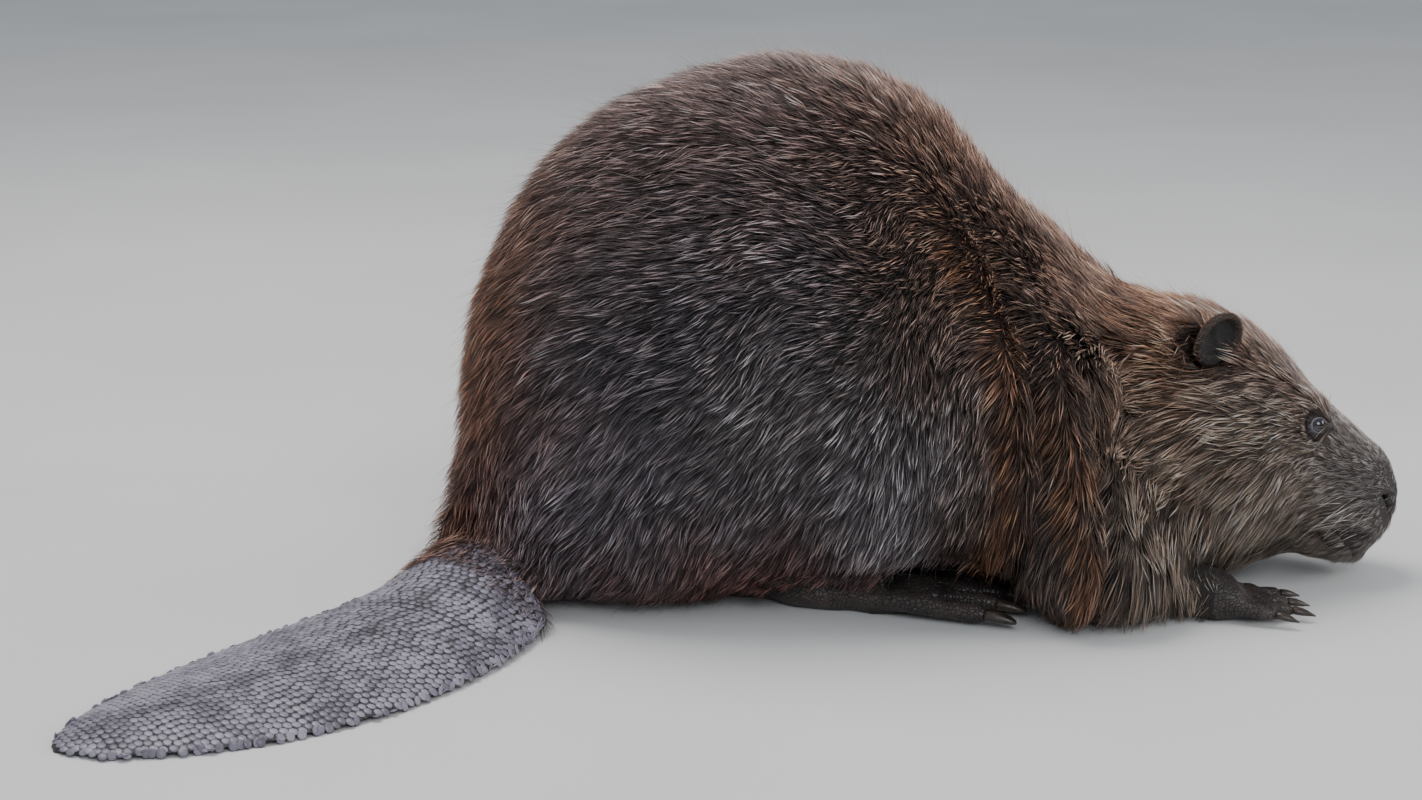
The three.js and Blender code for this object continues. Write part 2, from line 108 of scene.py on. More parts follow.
# %% [markdown]
# ## Camera and light
#
# The camera stands a metre and a half to the right of the animal's middle and a little higher than
# its back, and looks down slightly. A large soft lamp overhead and behind does what an open sky
# does: it rims the back and leaves the near flank in soft shade. A weaker one from the camera's
# side opens the shadows, and a third, in front of the nose, models the face.

# %% Camera and lamps
CAMERA_OFF = Vector((0, -1.460, 0.463))  # from the working origin
CAMERA_DOWN = 14  # degrees below level
LENS = 65.82  # millimetres, on a sensor 36 wide
LAMPS = {  # place, aim, width, watts, colour
    "sky": ((-0.5, 0.45, 2.0), (0, 0, 0.15), 1.5, 34, (1.0, 0.95, 0.92)),
    "front": ((0.5, -1.9, 1.3), (0, 0, 0.12), 1.2, 19, (0.93, 0.96, 1.0)),
    "nose_side": ((1.7, -0.3, 0.8), (0.2, 0, 0.12), 0.8, 9, (1.0, 0.97, 0.93)),
}


def in_scene(name, data):
    thing = bpy.data.objects.new(name, data)
    bpy.context.scene.collection.objects.link(thing)
    return thing


def make_camera():
    data = bpy.data.cameras.new("camera")
    data.lens = LENS
    data.sensor_width = 36
    camera = in_scene("camera", data)
    camera.location = SHIFT + CAMERA_OFF
    camera.rotation_euler = Euler((math.radians(90 - CAMERA_DOWN), 0, 0))
    bpy.context.scene.camera = camera


def make_lamp(name, place, aim, size, watts, colour):
    data = bpy.data.lights.new(name, "AREA")
    data.shape = "DISK"
    data.size = size
    data.energy = watts
    data.color = colour
    lamp = in_scene(name, data)
    lamp.location = place
    lamp.rotation_euler = (Vector(aim) - Vector(place)).to_track_quat("-Z", "Y").to_euler()


def make_world(colour, strength):
    world = bpy.data.worlds.new("studio")
    world.use_nodes = True
    background = world.node_tree.nodes["Background"]
    background.inputs["Color"].default_value = (*colour, 1)
    background.inputs["Strength"].default_value = strength
    bpy.context.scene.world = world


make_camera()
make_world((0.86, 0.92, 1.0), 0.50)
for lamp_name, lamp_settings in LAMPS.items():
    make_lamp(lamp_name, *lamp_settings)
print("camera at", [round(x, 3) for x in bpy.context.scene.camera.location])

# %% [markdown]
# ## How a finish is written down
#
# A finish on a real thing is a colour that varies a little, a gloss and a grain. Here it is a tree
# of nodes. Written out node by node, a tree fills a page and hides what it does, so two helpers
# come first. One adds and joins nodes in any tree. The other knows the few steps that every
# material here is made of.

# %% Helpers for node trees
class Nodes:
    """Short ways to write a node tree. An input is named by its label, or by _ and its number."""

    def __init__(self, graph):
        self.graph = graph

    def node(self, kind, settings=None, **inputs):
        node = self.graph.nodes.new(kind)
        for key, value in (settings or {}).items():
            setattr(node, key, value)
        for key, value in inputs.items():
            socket = node.inputs[int(key[1:])] if key[0] == "_" else node.inputs[key.replace("_", " ")]
            if isinstance(value, bpy.types.NodeSocket):
                self.graph.links.new(value, socket)
            else:
                socket.default_value = value
        return node.outputs

    def maths(self, operation, a, b=0.0, c=0.0):
        return self.node("ShaderNodeMath", {"operation": operation}, _0=a, _1=b, _2=c)[0]


class Look(Nodes):
    """A material: constants go to its shader first, and colour and normal when it is finished."""

    def __init__(self, name, roughness, **constants):
        self.material = bpy.data.materials.new(name)
        self.material.use_nodes = True
        super().__init__(self.material.node_tree)
        self.shader = self.graph.nodes["Principled BSDF"].inputs
        for label, value in {"Roughness": roughness, **constants}.items():
            self.shader[label.replace("_", " ")].default_value = value

    def attribute(self, name):
        return self.node("ShaderNodeAttribute", {"attribute_name": name})

    def cloud(self, scale, detail=3.0):
        place = self.node("ShaderNodeTexCoord")["Object"]
        return self.node("ShaderNodeTexNoise", Vector=place, Scale=scale, Detail=detail)["Fac"]

    def ramp(self, factor, *stops):
        colour = self.node("ShaderNodeValToRGB", Fac=factor)["Color"]
        elements = colour.node.color_ramp.elements
        while len(elements) < len(stops):
            elements.new(0.5)
        for element, (position, shade) in zip(elements, stops):
            element.position = position
            element.color = (*shade, 1)
        return colour

    def multiplied(self, a, b):
        settings = {"data_type": "RGBA", "blend_type": "MULTIPLY"}
        return self.node("ShaderNodeMix", settings, _0=1.0, _6=a, _7=b)[2]

    def bump(self, height, distance, strength=1.0, **under):
        sizes = {"Distance": distance, "Strength": strength}
        return self.node("ShaderNodeBump", Height=height, **sizes, **under)["Normal"]

    def finish(self, colour, normal=None):
        self.graph.links.new(colour, self.shader["Base Color"])
        if normal is not None:
            self.graph.links.new(normal, self.shader["Normal"])
        return self.material


print("steps of a material:", [step for step in vars(Look) if step[0] != "_"])

# %% [markdown]
# ## Floor
#
# The floor is a wide plain sheet. Its material is a pale grey with a faint cloudiness, so that it
# reads as a surface and not as a void. A sheet built from four corners is enough, as nothing stands
# at its edge.

# %% Floor
def object_from(name, vertices, faces, material=None, smooth=True):
    mesh = bpy.data.meshes.new(name)
    vertices = np.asarray(vertices, np.float32)
    faces = np.asarray(faces, np.int32)
    mesh.vertices.add(len(vertices))
    mesh.vertices.foreach_set("co", vertices.ravel())
    corners = faces.shape[1]
    mesh.loops.add(faces.size)
    mesh.loops.foreach_set("vertex_index", faces.ravel())
    mesh.polygons.add(len(faces))
    mesh.polygons.foreach_set("loop_start", np.arange(len(faces), dtype=np.int32) * corners)
    mesh.polygons.foreach_set("use_smooth", np.full(len(faces), smooth))
    mesh.update(calc_edges=True)
    if material:
        mesh.materials.append(material)
    return in_scene(name, mesh)


def make_floor():
    look = Look("pale_floor", 0.75)
    pale = look.ramp(look.cloud(2.5), (0.3, (0.66, 0.66, 0.65)), (0.7, (0.72, 0.72, 0.71)))
    reach = 30.0
    corners = [(-reach, -reach, 0), (reach, -reach, 0), (reach, reach, 0), (-reach, reach, 0)]
    floor = object_from("floor", corners, [(0, 1, 2, 3)], look.finish(pale), smooth=False)


make_floor()
print("floor laid")

# %% [markdown]
# ## The skin, step 1: one closed surface
#
# The solids end at the tips of the coat, and thin cuts part them. Copies of them are melted into
# one closed surface by a voxel remesh, which bridges the cuts. Other ways, such as a boolean union,
# would keep every cut as a groove. The ears are left out and modelled later, because their
# walls are thinner than two voxels. A small mound fills each ear's seat.

# %% Melt the solids together
VOXEL = 2.5 * MM
FLESH = sorted(name for name in frame["nodes"] if not name.startswith("eye"))
MELTED = [name for name in sorted(frame["nodes"]) if not name.startswith("ear")]
EAR_SEAT_IN_HEAD = Vector((-35, 27, 17)) * MM
EAR_SEAT_RADIUS = 13.5 * MM
SIDES = {"right": -1, "left": 1}


def arrays_of(mesh):
    co = np.empty(len(mesh.vertices) * 3, np.float32)
    mesh.vertices.foreach_get("co", co)
    mesh.calc_loop_triangles()
    tris = np.empty(len(mesh.loop_triangles) * 3, np.int32)
    mesh.loop_triangles.foreach_get("vertices", tris)
    return co.reshape(-1, 3).astype(float), tris.reshape(-1, 3)


def stacked(parts):
    """Several (vertices, faces) as one, and for each face the number of the part it came from."""
    vertices, faces, owner, start = [], [], [], 0
    for number, (co, tris) in enumerate(parts):
        vertices.append(co)
        faces.append(tris + start)
        owner.append(np.full(len(tris), number))
        start += len(co)
    return np.concatenate(vertices), np.concatenate(faces), np.concatenate(owner)


def in_head(points):
    """Points of the animal's axes in the head's axes, in millimetres."""
    back = np.array(HEAD.inverted())
    return (np.asarray(points) @ back[:3, :3].T + back[:3, 3]) / MM


def from_head(points):
    there = np.array(HEAD)
    return (np.asarray(points, float) * MM) @ there[:3, :3].T + there[:3, 3]


def finished_mesh(thing):
    """A new mesh of the thing with its modifiers applied."""
    evaluated = thing.evaluated_get(bpy.context.evaluated_depsgraph_get())
    return bpy.data.meshes.new_from_object(evaluated)


def ball_arrays(centre, radius):
    shape = bmesh.new()
    bmesh.ops.create_icosphere(shape, subdivisions=3, radius=radius)
    bmesh.ops.translate(shape, verts=shape.verts, vec=centre)
    mesh = bpy.data.meshes.new("ball")
    shape.to_mesh(mesh)
    shape.free()
    arrays = arrays_of(mesh)
    bpy.data.meshes.remove(mesh)
    return arrays


def melted_skin():
    parts = [arrays_of(frame["nodes"][name].data) for name in MELTED]
    co, tris, owner = stacked(parts)
    tree = BVHTree.FromPolygons(co.tolist(), tris.tolist())
    seats = [HEAD @ on_side(EAR_SEAT_IN_HEAD, side) for side in SIDES.values()]
    mounds = [ball_arrays(seat, EAR_SEAT_RADIUS) for seat in seats]
    co, tris, _ = stacked([(co, tris), *mounds])
    rough = object_from("rough_skin", co, tris)
    shape = bmesh.new()
    shape.from_mesh(rough.data)
    bmesh.ops.remove_doubles(shape, verts=shape.verts, dist=0.01 * MM)
    shape.to_mesh(rough.data)
    shape.free()
    remesh = rough.modifiers.new("melt", "REMESH")
    remesh.mode = "VOXEL"
    remesh.voxel_size = VOXEL
    mesh = finished_mesh(rough)
    bpy.data.objects.remove(rough)
    return mesh, tree, owner


rough_mesh, solid_tree, solid_owner = melted_skin()
print("melted skin:", len(rough_mesh.vertices), "vertices")

# %% [markdown]
# ## The skin, step 2: finer where the face is
#
# The muzzle carries nostrils, lips and a nose pad that are only millimetres wide, so its faces are
# split once, and those of the nose again. Elsewhere fur hides the skin, and the coarse grid is
# enough.

# %% Refine the muzzle, then read the mesh as arrays
MUZZLE_X = 60  # head axes, millimetres
NOSE_X = 88


def refine(mesh):
    shape = bmesh.new()
    shape.from_mesh(mesh)
    to_head = HEAD.inverted()
    for limit in (MUZZLE_X, NOSE_X):
        near = [f for f in shape.faces if (to_head @ f.calc_center_median()).x > limit * MM]
        edges = list({e for f in near for e in f.edges})
        bmesh.ops.subdivide_edges(shape, edges=edges, cuts=1, use_grid_fill=True)
    loose = [v for v in shape.verts if not v.link_faces]
    bmesh.ops.delete(shape, geom=loose, context="VERTS")
    bmesh.ops.triangulate(shape, faces=shape.faces)
    shape.to_mesh(mesh)
    shape.free()


refine(rough_mesh)
skin_co, skin_tris = arrays_of(rough_mesh)
bpy.data.meshes.remove(rough_mesh)


def edges_of(tris):
    pairs = np.concatenate([tris[:, [0, 1]], tris[:, [1, 2]], tris[:, [2, 0]]])
    return np.unique(np.sort(pairs, 1), axis=0)


def across_faces(co, tris):
    """For each triangle, a vector square to it whose length is twice its area."""
    a, b, c = co[tris].transpose(1, 0, 2)
    return np.cross(b - a, c - a)


class Web:
    """The edges of a mesh, to spread values along."""

    def __init__(self, tris, count):
        self.tris, self.count = tris, count
        self.a, self.b = edges_of(tris).T
        ends = np.concatenate([self.a, self.b])
        self.degree = np.maximum(np.bincount(ends, minlength=count), 1)

    def mean(self, values):
        """For each vertex, the mean of its neighbours' values."""
        out = np.empty_like(values)
        for k in range(values.shape[1]):
            total = np.bincount(self.a, values[self.b, k], self.count)
            total += np.bincount(self.b, values[self.a, k], self.count)
            out[:, k] = total / self.degree
        return out

    def spread(self, values, rounds):
        flat = values.reshape(self.count, -1).astype(float)
        for _ in range(rounds):
            flat = 0.5 * flat + 0.5 * self.mean(flat)
        return flat.reshape(values.shape)

    def normals(self, co):
        across = across_faces(co, self.tris)
        out = np.zeros((self.count, 3))
        for corner in range(3):
            for k in range(3):
                out[:, k] += np.bincount(self.tris[:, corner], across[:, k], self.count)
        return out / np.maximum(np.linalg.norm(out, axis=1, keepdims=True), 1e-12)


web = Web(skin_tris, len(skin_co))
print("skin:", len(skin_co), "vertices,", len(skin_tris), "triangles")

# %% [markdown]
# ## The skin, step 3: what belongs to what
#
# Each point of the skin learns which solid it came from, and these shares are spread along the mesh
# so that one part fades into the next. From now on depth, colour and hair are mixed by shares, and
# no border shows.

# %% Shares of each part
def shares_of_parts():
    nearest = [solid_tree.find_nearest(point)[2] for point in skin_co]
    part = solid_owner[np.array(nearest)]
    one_hot = np.zeros((len(skin_co), len(MELTED)))
    one_hot[np.arange(len(skin_co)), part] = 1
    return web.spread(one_hot, 14)


shares = shares_of_parts()


def share(*starts):
    return sum(shares[:, k] for k, name in enumerate(MELTED) if name.startswith(starts))


def working(points):
    """Points of the animal's axes in the working axes, in millimetres."""
    return (points - np.array(SHIFT)) / MM


def smoothstep(values, low, high):
    t = np.clip((np.asarray(values, float) - low) / (high - low), 0, 1)
    return t * t * (3 - 2 * t)


head_mm = in_head(skin_co)
feet_share, tail_share, head_share = share("hind_foot", "hand"), share("tail"), share("head", "eye")
feet_mean, tail_mean = (round(float(x.mean()), 3) for x in (feet_share, tail_share))
print("share of feet and hands:", feet_mean, "tail:", tail_mean)

# %% [markdown]
# ## The skin, step 4: smooth it and sink it under the coat
#
# A plain blur would shrink thin toes, so each round of smoothing is followed by a nearly equal
# round outwards. Then the skin sinks by the depth of the coat, in small steps: a finger's breadth
# of fur on the back, a few millimetres on the cheeks, and next to nothing on nose, feet and tail.

# %% Smooth and sink
TAIL_BASE = (-127, -77)  # where the solid tail begins, working millimetres
TAIL_CUT = math.radians(228)  # the heading across which it begins
SMOOTH_ROUNDS = 26
BLEND_ROUNDS = 70  # more of it on the throat and round the root of the tail
FLOOR_GAP = 0.3 * MM


def beyond_tail_cut(at):
    return (at[:, :2] - TAIL_BASE) @ (math.cos(TAIL_CUT), math.sin(TAIL_CUT))


def smooth_skin(co):
    amount = 1 - 0.55 * np.clip(feet_share * 1.5, 0, 1) - 0.25 * np.clip(head_share, 0, 1)
    amount = amount[:, None]
    for _ in range(SMOOTH_ROUNDS):
        co = co + 0.55 * amount * (web.mean(co) - co)
        co = co - 0.54 * amount * (web.mean(co) - co)
    at = working(co)
    x, y, z = at.T
    throat = smoothstep(x, 185, 215) * smoothstep(x, 325, 300) * smoothstep(z, 18, 40)
    throat *= smoothstep(z, 130, 100) * smoothstep(np.abs(y), 30, 55)
    throat *= 1 - np.clip(2 * feet_share, 0, 1)
    tail_root = np.exp(-((beyond_tail_cut(at) / 26) ** 2)) * smoothstep(z, 120, 90) * (x < -40)
    blend = np.maximum(throat, tail_root)[:, None]
    for _ in range(BLEND_ROUNDS):
        co = co + 0.5 * blend * (web.mean(co) - co)
    return co


def coat_depth():
    """How far the skin lies under the tips of the coat, in millimetres."""
    depth = 10.5 * share("trunk") + 10 * share("neck") + 9.5 * share("haunch") + 6 * share("foreleg")
    on_head = np.interp(head_mm[:, 0], [-50, 0, 30, 50, 80, 94, 104], [9, 6, 3.2, 2.2, 1.5, 0.5, 0])
    depth += share("head") * on_head + 1.5 * share("eye")
    depth += 0.3 * (share("tail") + feet_share)
    return web.spread(depth[:, None], 4)[:, 0]


def sink(co, depth, steps=4):
    for _ in range(steps):
        normal = web.spread(web.normals(co), 2)
        co = co - normal * (depth * MM / steps)[:, None]
        relax = np.clip(depth / 10, 0, 1)[:, None]
        co = co + 0.4 * relax * (web.mean(co) - co)
    return co


skin_co = smooth_skin(skin_co)
skin_depth = coat_depth()
skin_co = sink(skin_co, skin_depth)
skin_co[:, 2] = np.maximum(skin_co[:, 2], FLOOR_GAP)
print("deepest coat:", round(float(skin_depth.max()), 1), "mm")

# %% [markdown]
# ## The skin, step 5: two deep folds
#
# Hunched like this, the loose skin of the flank hangs in two upright folds, one where the hip
# pushes forward and one along the upper arm. Each is given as a line seen from the side. Behind the
# line the skin swells into a ridge, and in front of it lies a groove.

# %% Press in the folds
RIDGE_HEIGHT = 3.0
GROOVE_DEPTH = 5.5
FOLDS = {
    "hip": [
        (88, 268), (108, 259), (129, 231), (145, 199), (158, 164),
        (166, 131), (170, 97), (168, 66), (158, 35),
    ],
    "arm": [(169, 181), (183, 160), (193, 127), (200, 95), (204, 60), (204, 29), (201, 9)],
}


def ahead_of(points, line):
    """How far each point lies in front of a fold's line, seen from the side, in millimetres."""
    at = points[:, [0, 2]]
    nearest = np.full(len(at), 1e9)
    ahead = np.zeros(len(at))
    for a, b in zip(line[:-1], line[1:]):
        a, b = np.array(a, float), np.array(b, float)
        t = np.clip((at - a) @ (b - a) / ((b - a) @ (b - a)), 0, 1)
        off = at - a - t[:, None] * (b - a)
        away = np.linalg.norm(off, axis=1)
        front = (b - a)[0] * off[:, 1] - (b - a)[1] * off[:, 0] > 0
        ahead = np.where(away < nearest, np.where(front, away, -away), ahead)
        nearest = np.minimum(away, nearest)
    return ahead


def fold_marks(points):
    """How strongly each point belongs to a fold's ridge and to its groove, from 0 to 1."""
    ridge, groove = np.zeros(len(points)), np.zeros(len(points))
    for line in FOLDS.values():
        ahead = ahead_of(points, line)
        low, high = line[0][1], line[3][1]
        strength = smoothstep(np.abs(points[:, 1]), 40, 66) * smoothstep(points[:, 2], low, high)
        ridge = np.maximum(ridge, np.exp(-(((ahead + 5) / 7.5) ** 2)) * strength)
        groove = np.maximum(groove, np.exp(-(((ahead - 7) / 6.5) ** 2)) * strength)
    return ridge, groove


ridge_mark, groove_mark = fold_marks(working(skin_co))
swell = (RIDGE_HEIGHT * ridge_mark - GROOVE_DEPTH * groove_mark) * MM
skin_co = skin_co + web.normals(skin_co) * swell[:, None]
print("folds pressed; vertices in the grooves:", int((groove_mark > 0.5).sum()))

# %% [markdown]
# ## The skin, step 6: nostrils, lips and brow
#
# Small forms are pressed into the skin with soft round stamps, in the head's axes. A nostril is a
# deep comma with a raised rim. The lips meet in a groove that runs back under the whisker pads, and
# a short cleft joins it to the nose. This is how a sculptor works on clay, and it needs no extra
# pieces.

# %% Press in the small forms
NOSTRIL = Vector((95, 14.5, -18))  # left one, millimetres, head axes
NOSTRIL_RADIUS = 6.2
NOSTRIL_DEPTH = 7.5
MOUTH = [(106, 0, -47), (101, 10, -50), (90, 20, -51), (76, 27, -49), (62, 31, -44)]
CLEFT = [(108, 0, -28), (107, 0, -46)]
NOSE_SEAM = [(112, 0, -8), (114, 0, -26)]
BROW = [(30, 33, 15), (44, 34, 15.5), (54, 31, 12)]


def distance_to_path(points, path):
    best = np.full(len(points), 1e9)
    for a, b in zip(path[:-1], path[1:]):
        a, b = np.array(a, float), np.array(b, float)
        t = np.clip(((points - a) @ (b - a)) / ((b - a) @ (b - a)), 0, 1)
        best = np.minimum(best, np.linalg.norm(points - (a + t[:, None] * (b - a)), axis=1))
    return best


def stroke(points, path, width, off=0.0):
    """1 on a path, falling softly to 0 beside it."""
    return np.exp(-(((distance_to_path(points, path) - off) / width) ** 2))


def folded(points):
    """The points of both sides laid over each other."""
    return np.stack([points[:, 0], np.abs(points[:, 1]), points[:, 2]], 1)


def press_head_forms(co):
    at = in_head(co)
    normal = web.normals(co) @ TURN  # in head axes
    pits = np.zeros(len(co))
    for side in SIDES.values():
        inward = np.array((-0.38, -side * 0.92, 0.10))
        offset = at - np.array(on_side(NOSTRIL, side))
        away = offset - (offset @ inward)[:, None] * inward
        reach = np.linalg.norm(away * (0.85, 0.85, 1.0), axis=1)
        near = np.abs(offset @ inward) < 12
        pit = np.clip(1 - (reach / NOSTRIL_RADIUS) ** 2, 0, 1) * near
        rim = np.exp(-(((reach - NOSTRIL_RADIUS - 1.2) / 1.6) ** 2)) * near
        pits += pit
        at += inward * (NOSTRIL_DEPTH * pit)[:, None] + normal * (1.3 * rim)[:, None]
        slit = stroke(at, [(93, side * 16, -14.5), (87, side * 17.5, -11)], 1.7)
        at -= normal * (1.6 * slit)[:, None]
    both = folded(at)
    groove, cleft = stroke(both, MOUTH, 1.7), stroke(both, CLEFT, 1.3)
    lip = stroke(both, MOUTH, 2.2, off=4.5) * (both[:, 0] > MUZZLE_X - 2)
    raised = 0.6 * lip + 1.5 * stroke(both, BROW, 3.6)
    pressed = 1.9 * groove + 1.6 * cleft + 0.9 * stroke(both, NOSE_SEAM, 1.4)
    at += normal * (raised - pressed)[:, None]
    # The second value marks the mouth line, the cleft and the nostril pits, which are darkened later as
    # painted shade.
    return from_head(at), groove + cleft + pits


skin_co, mouth_shade_mark = press_head_forms(skin_co)
print("forms pressed; vertices in the mouth line:", int((mouth_shade_mark > 0.5).sum()))

# %% [markdown]
# ## Lids
#
# A beaver's eye is small and round, with a pale wet edge to its lids. Each pair of lids is a ring
# of faces round the eyeball: its inner edge lies on the ball, and further out it takes up the
# height of the skin below, found by casting rays. The skin under it is pushed in so that it can't
# show through.

# %% Lid rings
EYE_RADIUS = 6.0
EYE_OUT = {side: Vector((0.05, side * 0.99, 0.08)).normalized() for side in SIDES.values()}
LID_OPEN = 3.7  # half the gap between the lids
LID_REACH = 10.5
LID_EDGE = [  # share of LID_OPEN, height
    (0.93, -1.4), (0.97, -0.3), (1.0, 0.25), (1.08, 0.62), (1.2, 0.70),
]
LID_STEPS = 8  # rings between the edge and the skin around
PUSH_IN = 3.5
RAY_HEIGHT = 14
ROUND = 56


def ring_faces(rings, around):
    faces = []
    for ring in range(rings - 1):
        for k in range(around):
            a, b = ring * around + k, ring * around + (k + 1) % around
            faces += [(a, a + around, b + around), (a, b + around, b)]
    return np.array(faces)


def push_skin_in(co):
    at = in_head(co)
    for side in SIDES.values():
        out = np.array(EYE_OUT[side])
        offset = at - np.array(on_side(EYE_IN_HEAD, side)) / MM
        height = offset @ out
        reach = np.linalg.norm(offset - height[:, None] * out, axis=1)
        push = PUSH_IN * (1 - smoothstep(reach, 5.5, 8.5)) * (height > -4)
        at -= out * push[:, None]
    return from_head(at)


def eye_axes(side):
    """An eye's middle, the way forwards and the way up round it, in the head's axes and millimetres."""
    out = EYE_OUT[side]
    fore = (Vector((1, 0, 0)) - out * out.x).normalized()
    up = out.cross(fore)
    return on_side(EYE_IN_HEAD, side) / MM, fore, up


def lid_ring(side, tree):
    eye, fore, up = eye_axes(side)
    up = up * (1 if up.z > 0 else -1)
    out = EYE_OUT[side]
    angles = [2 * math.pi * k / ROUND for k in range(ROUND)]

    def spot(flat, angle):
        return eye + fore * (flat * math.cos(angle)) + up * (flat * math.sin(angle))

    vertices = []
    for radius, lift in LID_EDGE:
        for angle in angles:
            almond = 1.14 - 0.10 * abs(math.sin(angle)) - 0.02 * (1 + math.cos(2 * angle))
            flat = LID_OPEN * radius * almond
            height = math.sqrt(EYE_RADIUS**2 - min(flat, EYE_RADIUS * 0.95) ** 2) + lift
            vertices.append(spot(flat, angle) + out * height)
    brim = LID_OPEN * 1.3
    lid = math.sqrt(EYE_RADIUS**2 - brim**2) + 0.62
    for step in range(1, LID_STEPS + 1):
        blend = step / LID_STEPS
        flat = brim + (LID_REACH - brim) * blend
        crease = 0.5 * math.exp(-(((flat - 7.0) / 0.7) ** 2))
        ease = blend * blend * (3 - 2 * blend)
        for angle in angles:
            start = HEAD @ ((spot(flat, angle) + out * RAY_HEIGHT) * MM)
            hit = tree.ray_cast(start, -(HEAD_TURN.to_3x3() @ out), 30 * MM)
            ground = RAY_HEIGHT - hit[3] / MM if hit[0] else 0
            height = lid * (1 - ease) + (ground - 0.25 * blend) * ease - crease
            vertices.append(spot(flat, angle) + out * height)
    return from_head(vertices), ring_faces(len(LID_EDGE) + LID_STEPS, ROUND)


surface_before = BVHTree.FromPolygons(skin_co.tolist(), skin_tris.tolist())
lids = {side: lid_ring(side, surface_before) for side in SIDES.values()}
skin_co = push_skin_in(skin_co)
print("lid rings:", [len(v) for v, _ in lids.values()], "vertices")

# %% [markdown]
# ## Ears
#
# The ear is a small round leathery cup on a short stem, open forwards and outwards. One curve, from
# the middle of its back over the rim and down into the hollow, is turned round an oval. A diagonal
# fold crosses the hollow.

# %% Ear shells
EAR_IN_HEAD = Vector((-35, 49, 24))
EAR_HEIGHT = 33
EAR_ROUND = 44
EAR_PROFILE = [  # share of the oval, height: the back, the rim, the hollow
    (0.00, -7.2), (0.25, -7.0), (0.50, -6.3), (0.72, -5.2), (0.88, -3.6), (0.97, -1.8),
    (1.01, 0.0), (1.00, 1.5), (0.95, 2.3), (0.89, 1.9),
    (0.83, 0.6), (0.76, -1.0), (0.66, -2.6), (0.50, -3.9), (0.32, -4.7), (0.16, -5.0), (0.00, -5.1),
]


def ear_shell(side):
    turn = (
        Matrix.Rotation(math.radians(-side * 26), 4, "Z")
        @ Matrix.Rotation(math.radians(-14), 4, "Y")
        @ Matrix.Rotation(math.radians(-side * 10), 4, "X")
    )
    place = Matrix.Translation(on_side(EAR_IN_HEAD, side)) @ turn
    vertices, rim = [], []
    for number, (ring, height) in enumerate(EAR_PROFILE):
        for k in range(EAR_ROUND):
            angle = 2 * math.pi * k / EAR_ROUND
            low = max(0.0, -math.sin(angle))
            wide = ring * EAR_HEIGHT * 0.44 * (1 - 0.16 * low**2)
            tall = ring * EAR_HEIGHT * 0.51 * (1 - 0.04 * low)
            x, z = wide * math.cos(angle), tall * math.sin(angle)
            inside = number > 9
            fold = math.exp(-(((x * 0.8 + z * 0.5 - 1.5) / 2.2) ** 2)) * (ring < 0.9) * (z < 9)
            lip = 1.6 * max(0.0, math.cos(angle - 0.3)) * (6 <= number <= 9)
            y = height + 1.7 * fold * inside - lip - 3.0 * low * (number > 4) * ring**2
            vertices.append(place @ Vector((x, side * y, z)))
            rim.append(1.0 if 5 <= number <= 9 else (0.55 if number < 5 else 0.0))
    faces = ring_faces(len(EAR_PROFILE), EAR_ROUND)
    last = len(vertices) - EAR_ROUND
    faces = np.where(faces < EAR_ROUND, 0, faces)  # each pole is one point
    faces = np.where(faces >= last, last, faces)
    corners = np.sort(faces, axis=1)
    faces = faces[(corners[:, 0] < corners[:, 1]) & (corners[:, 1] < corners[:, 2])]
    kept, faces = np.unique(faces, return_inverse=True)
    faces = faces.reshape(-1, 3)
    if side > 0:
        faces = faces[:, ::-1]
    return from_head(vertices)[kept], faces, np.array(rim)[kept]


ears = {side: ear_shell(side) for side in SIDES.values()}
print("ear shells:", [len(e[0]) for e in ears.values()], "vertices")

# %% [markdown]
# ## One skin from all of it
#
# Body, ears and lids become one mesh. The ears' feet stand inside the skin and the lids' outer edge
# lies in it, so nothing gapes. From here each array has one row for each vertex of the whole skin.

# %% Join body, ears and lids
def whole_skin():
    parts = [(skin_co, skin_tris)]
    parts += [(co, tris) for co, tris, _ in ears.values()]
    parts += [(co, tris[:, ::-1] if side < 0 else tris) for side, (co, tris) in lids.items()]
    return stacked(parts)


skin_all, tris_all, _ = whole_skin()
body_count = len(skin_co)
ear_rim = np.zeros(len(skin_all))
is_ear = np.zeros(len(skin_all), bool)
is_lid = np.zeros(len(skin_all), bool)
start = body_count
for co, _, rim in ears.values():
    ear_rim[start : start + len(co)] = rim
    is_ear[start : start + len(co)] = True
    start += len(co)
is_lid[start:] = True


def extended(values, ear_value, lid_value):
    out = np.full(len(skin_all), float(lid_value))
    out[:body_count] = values
    out[is_ear] = ear_value
    return out


all_web = Web(tris_all, len(skin_all))
normal_all = all_web.normals(skin_all)
work = working(skin_all)  # working axes, millimetres
head_all = in_head(skin_all)
FURRED = ("trunk", "neck", "haunch", "foreleg", "hand", "tail")
part = {name: extended(share(name), 0, 0) for name in FURRED}
part["head"] = extended(head_share, 0, 1)
part["feet"] = extended(feet_share, 0, 0)
part["ear"] = extended(0, 1, 0)
print("whole skin:", len(skin_all), "vertices,", len(tris_all), "triangles")

# %% [markdown]
# ## Combing
#
# Hair needs a direction everywhere. It could be painted on by hand, point by point, but a few
# strokes of a comb are enough: each has a place and a direction. They are given in the working
# axes, for the animal's right side, and mirrored to its left.

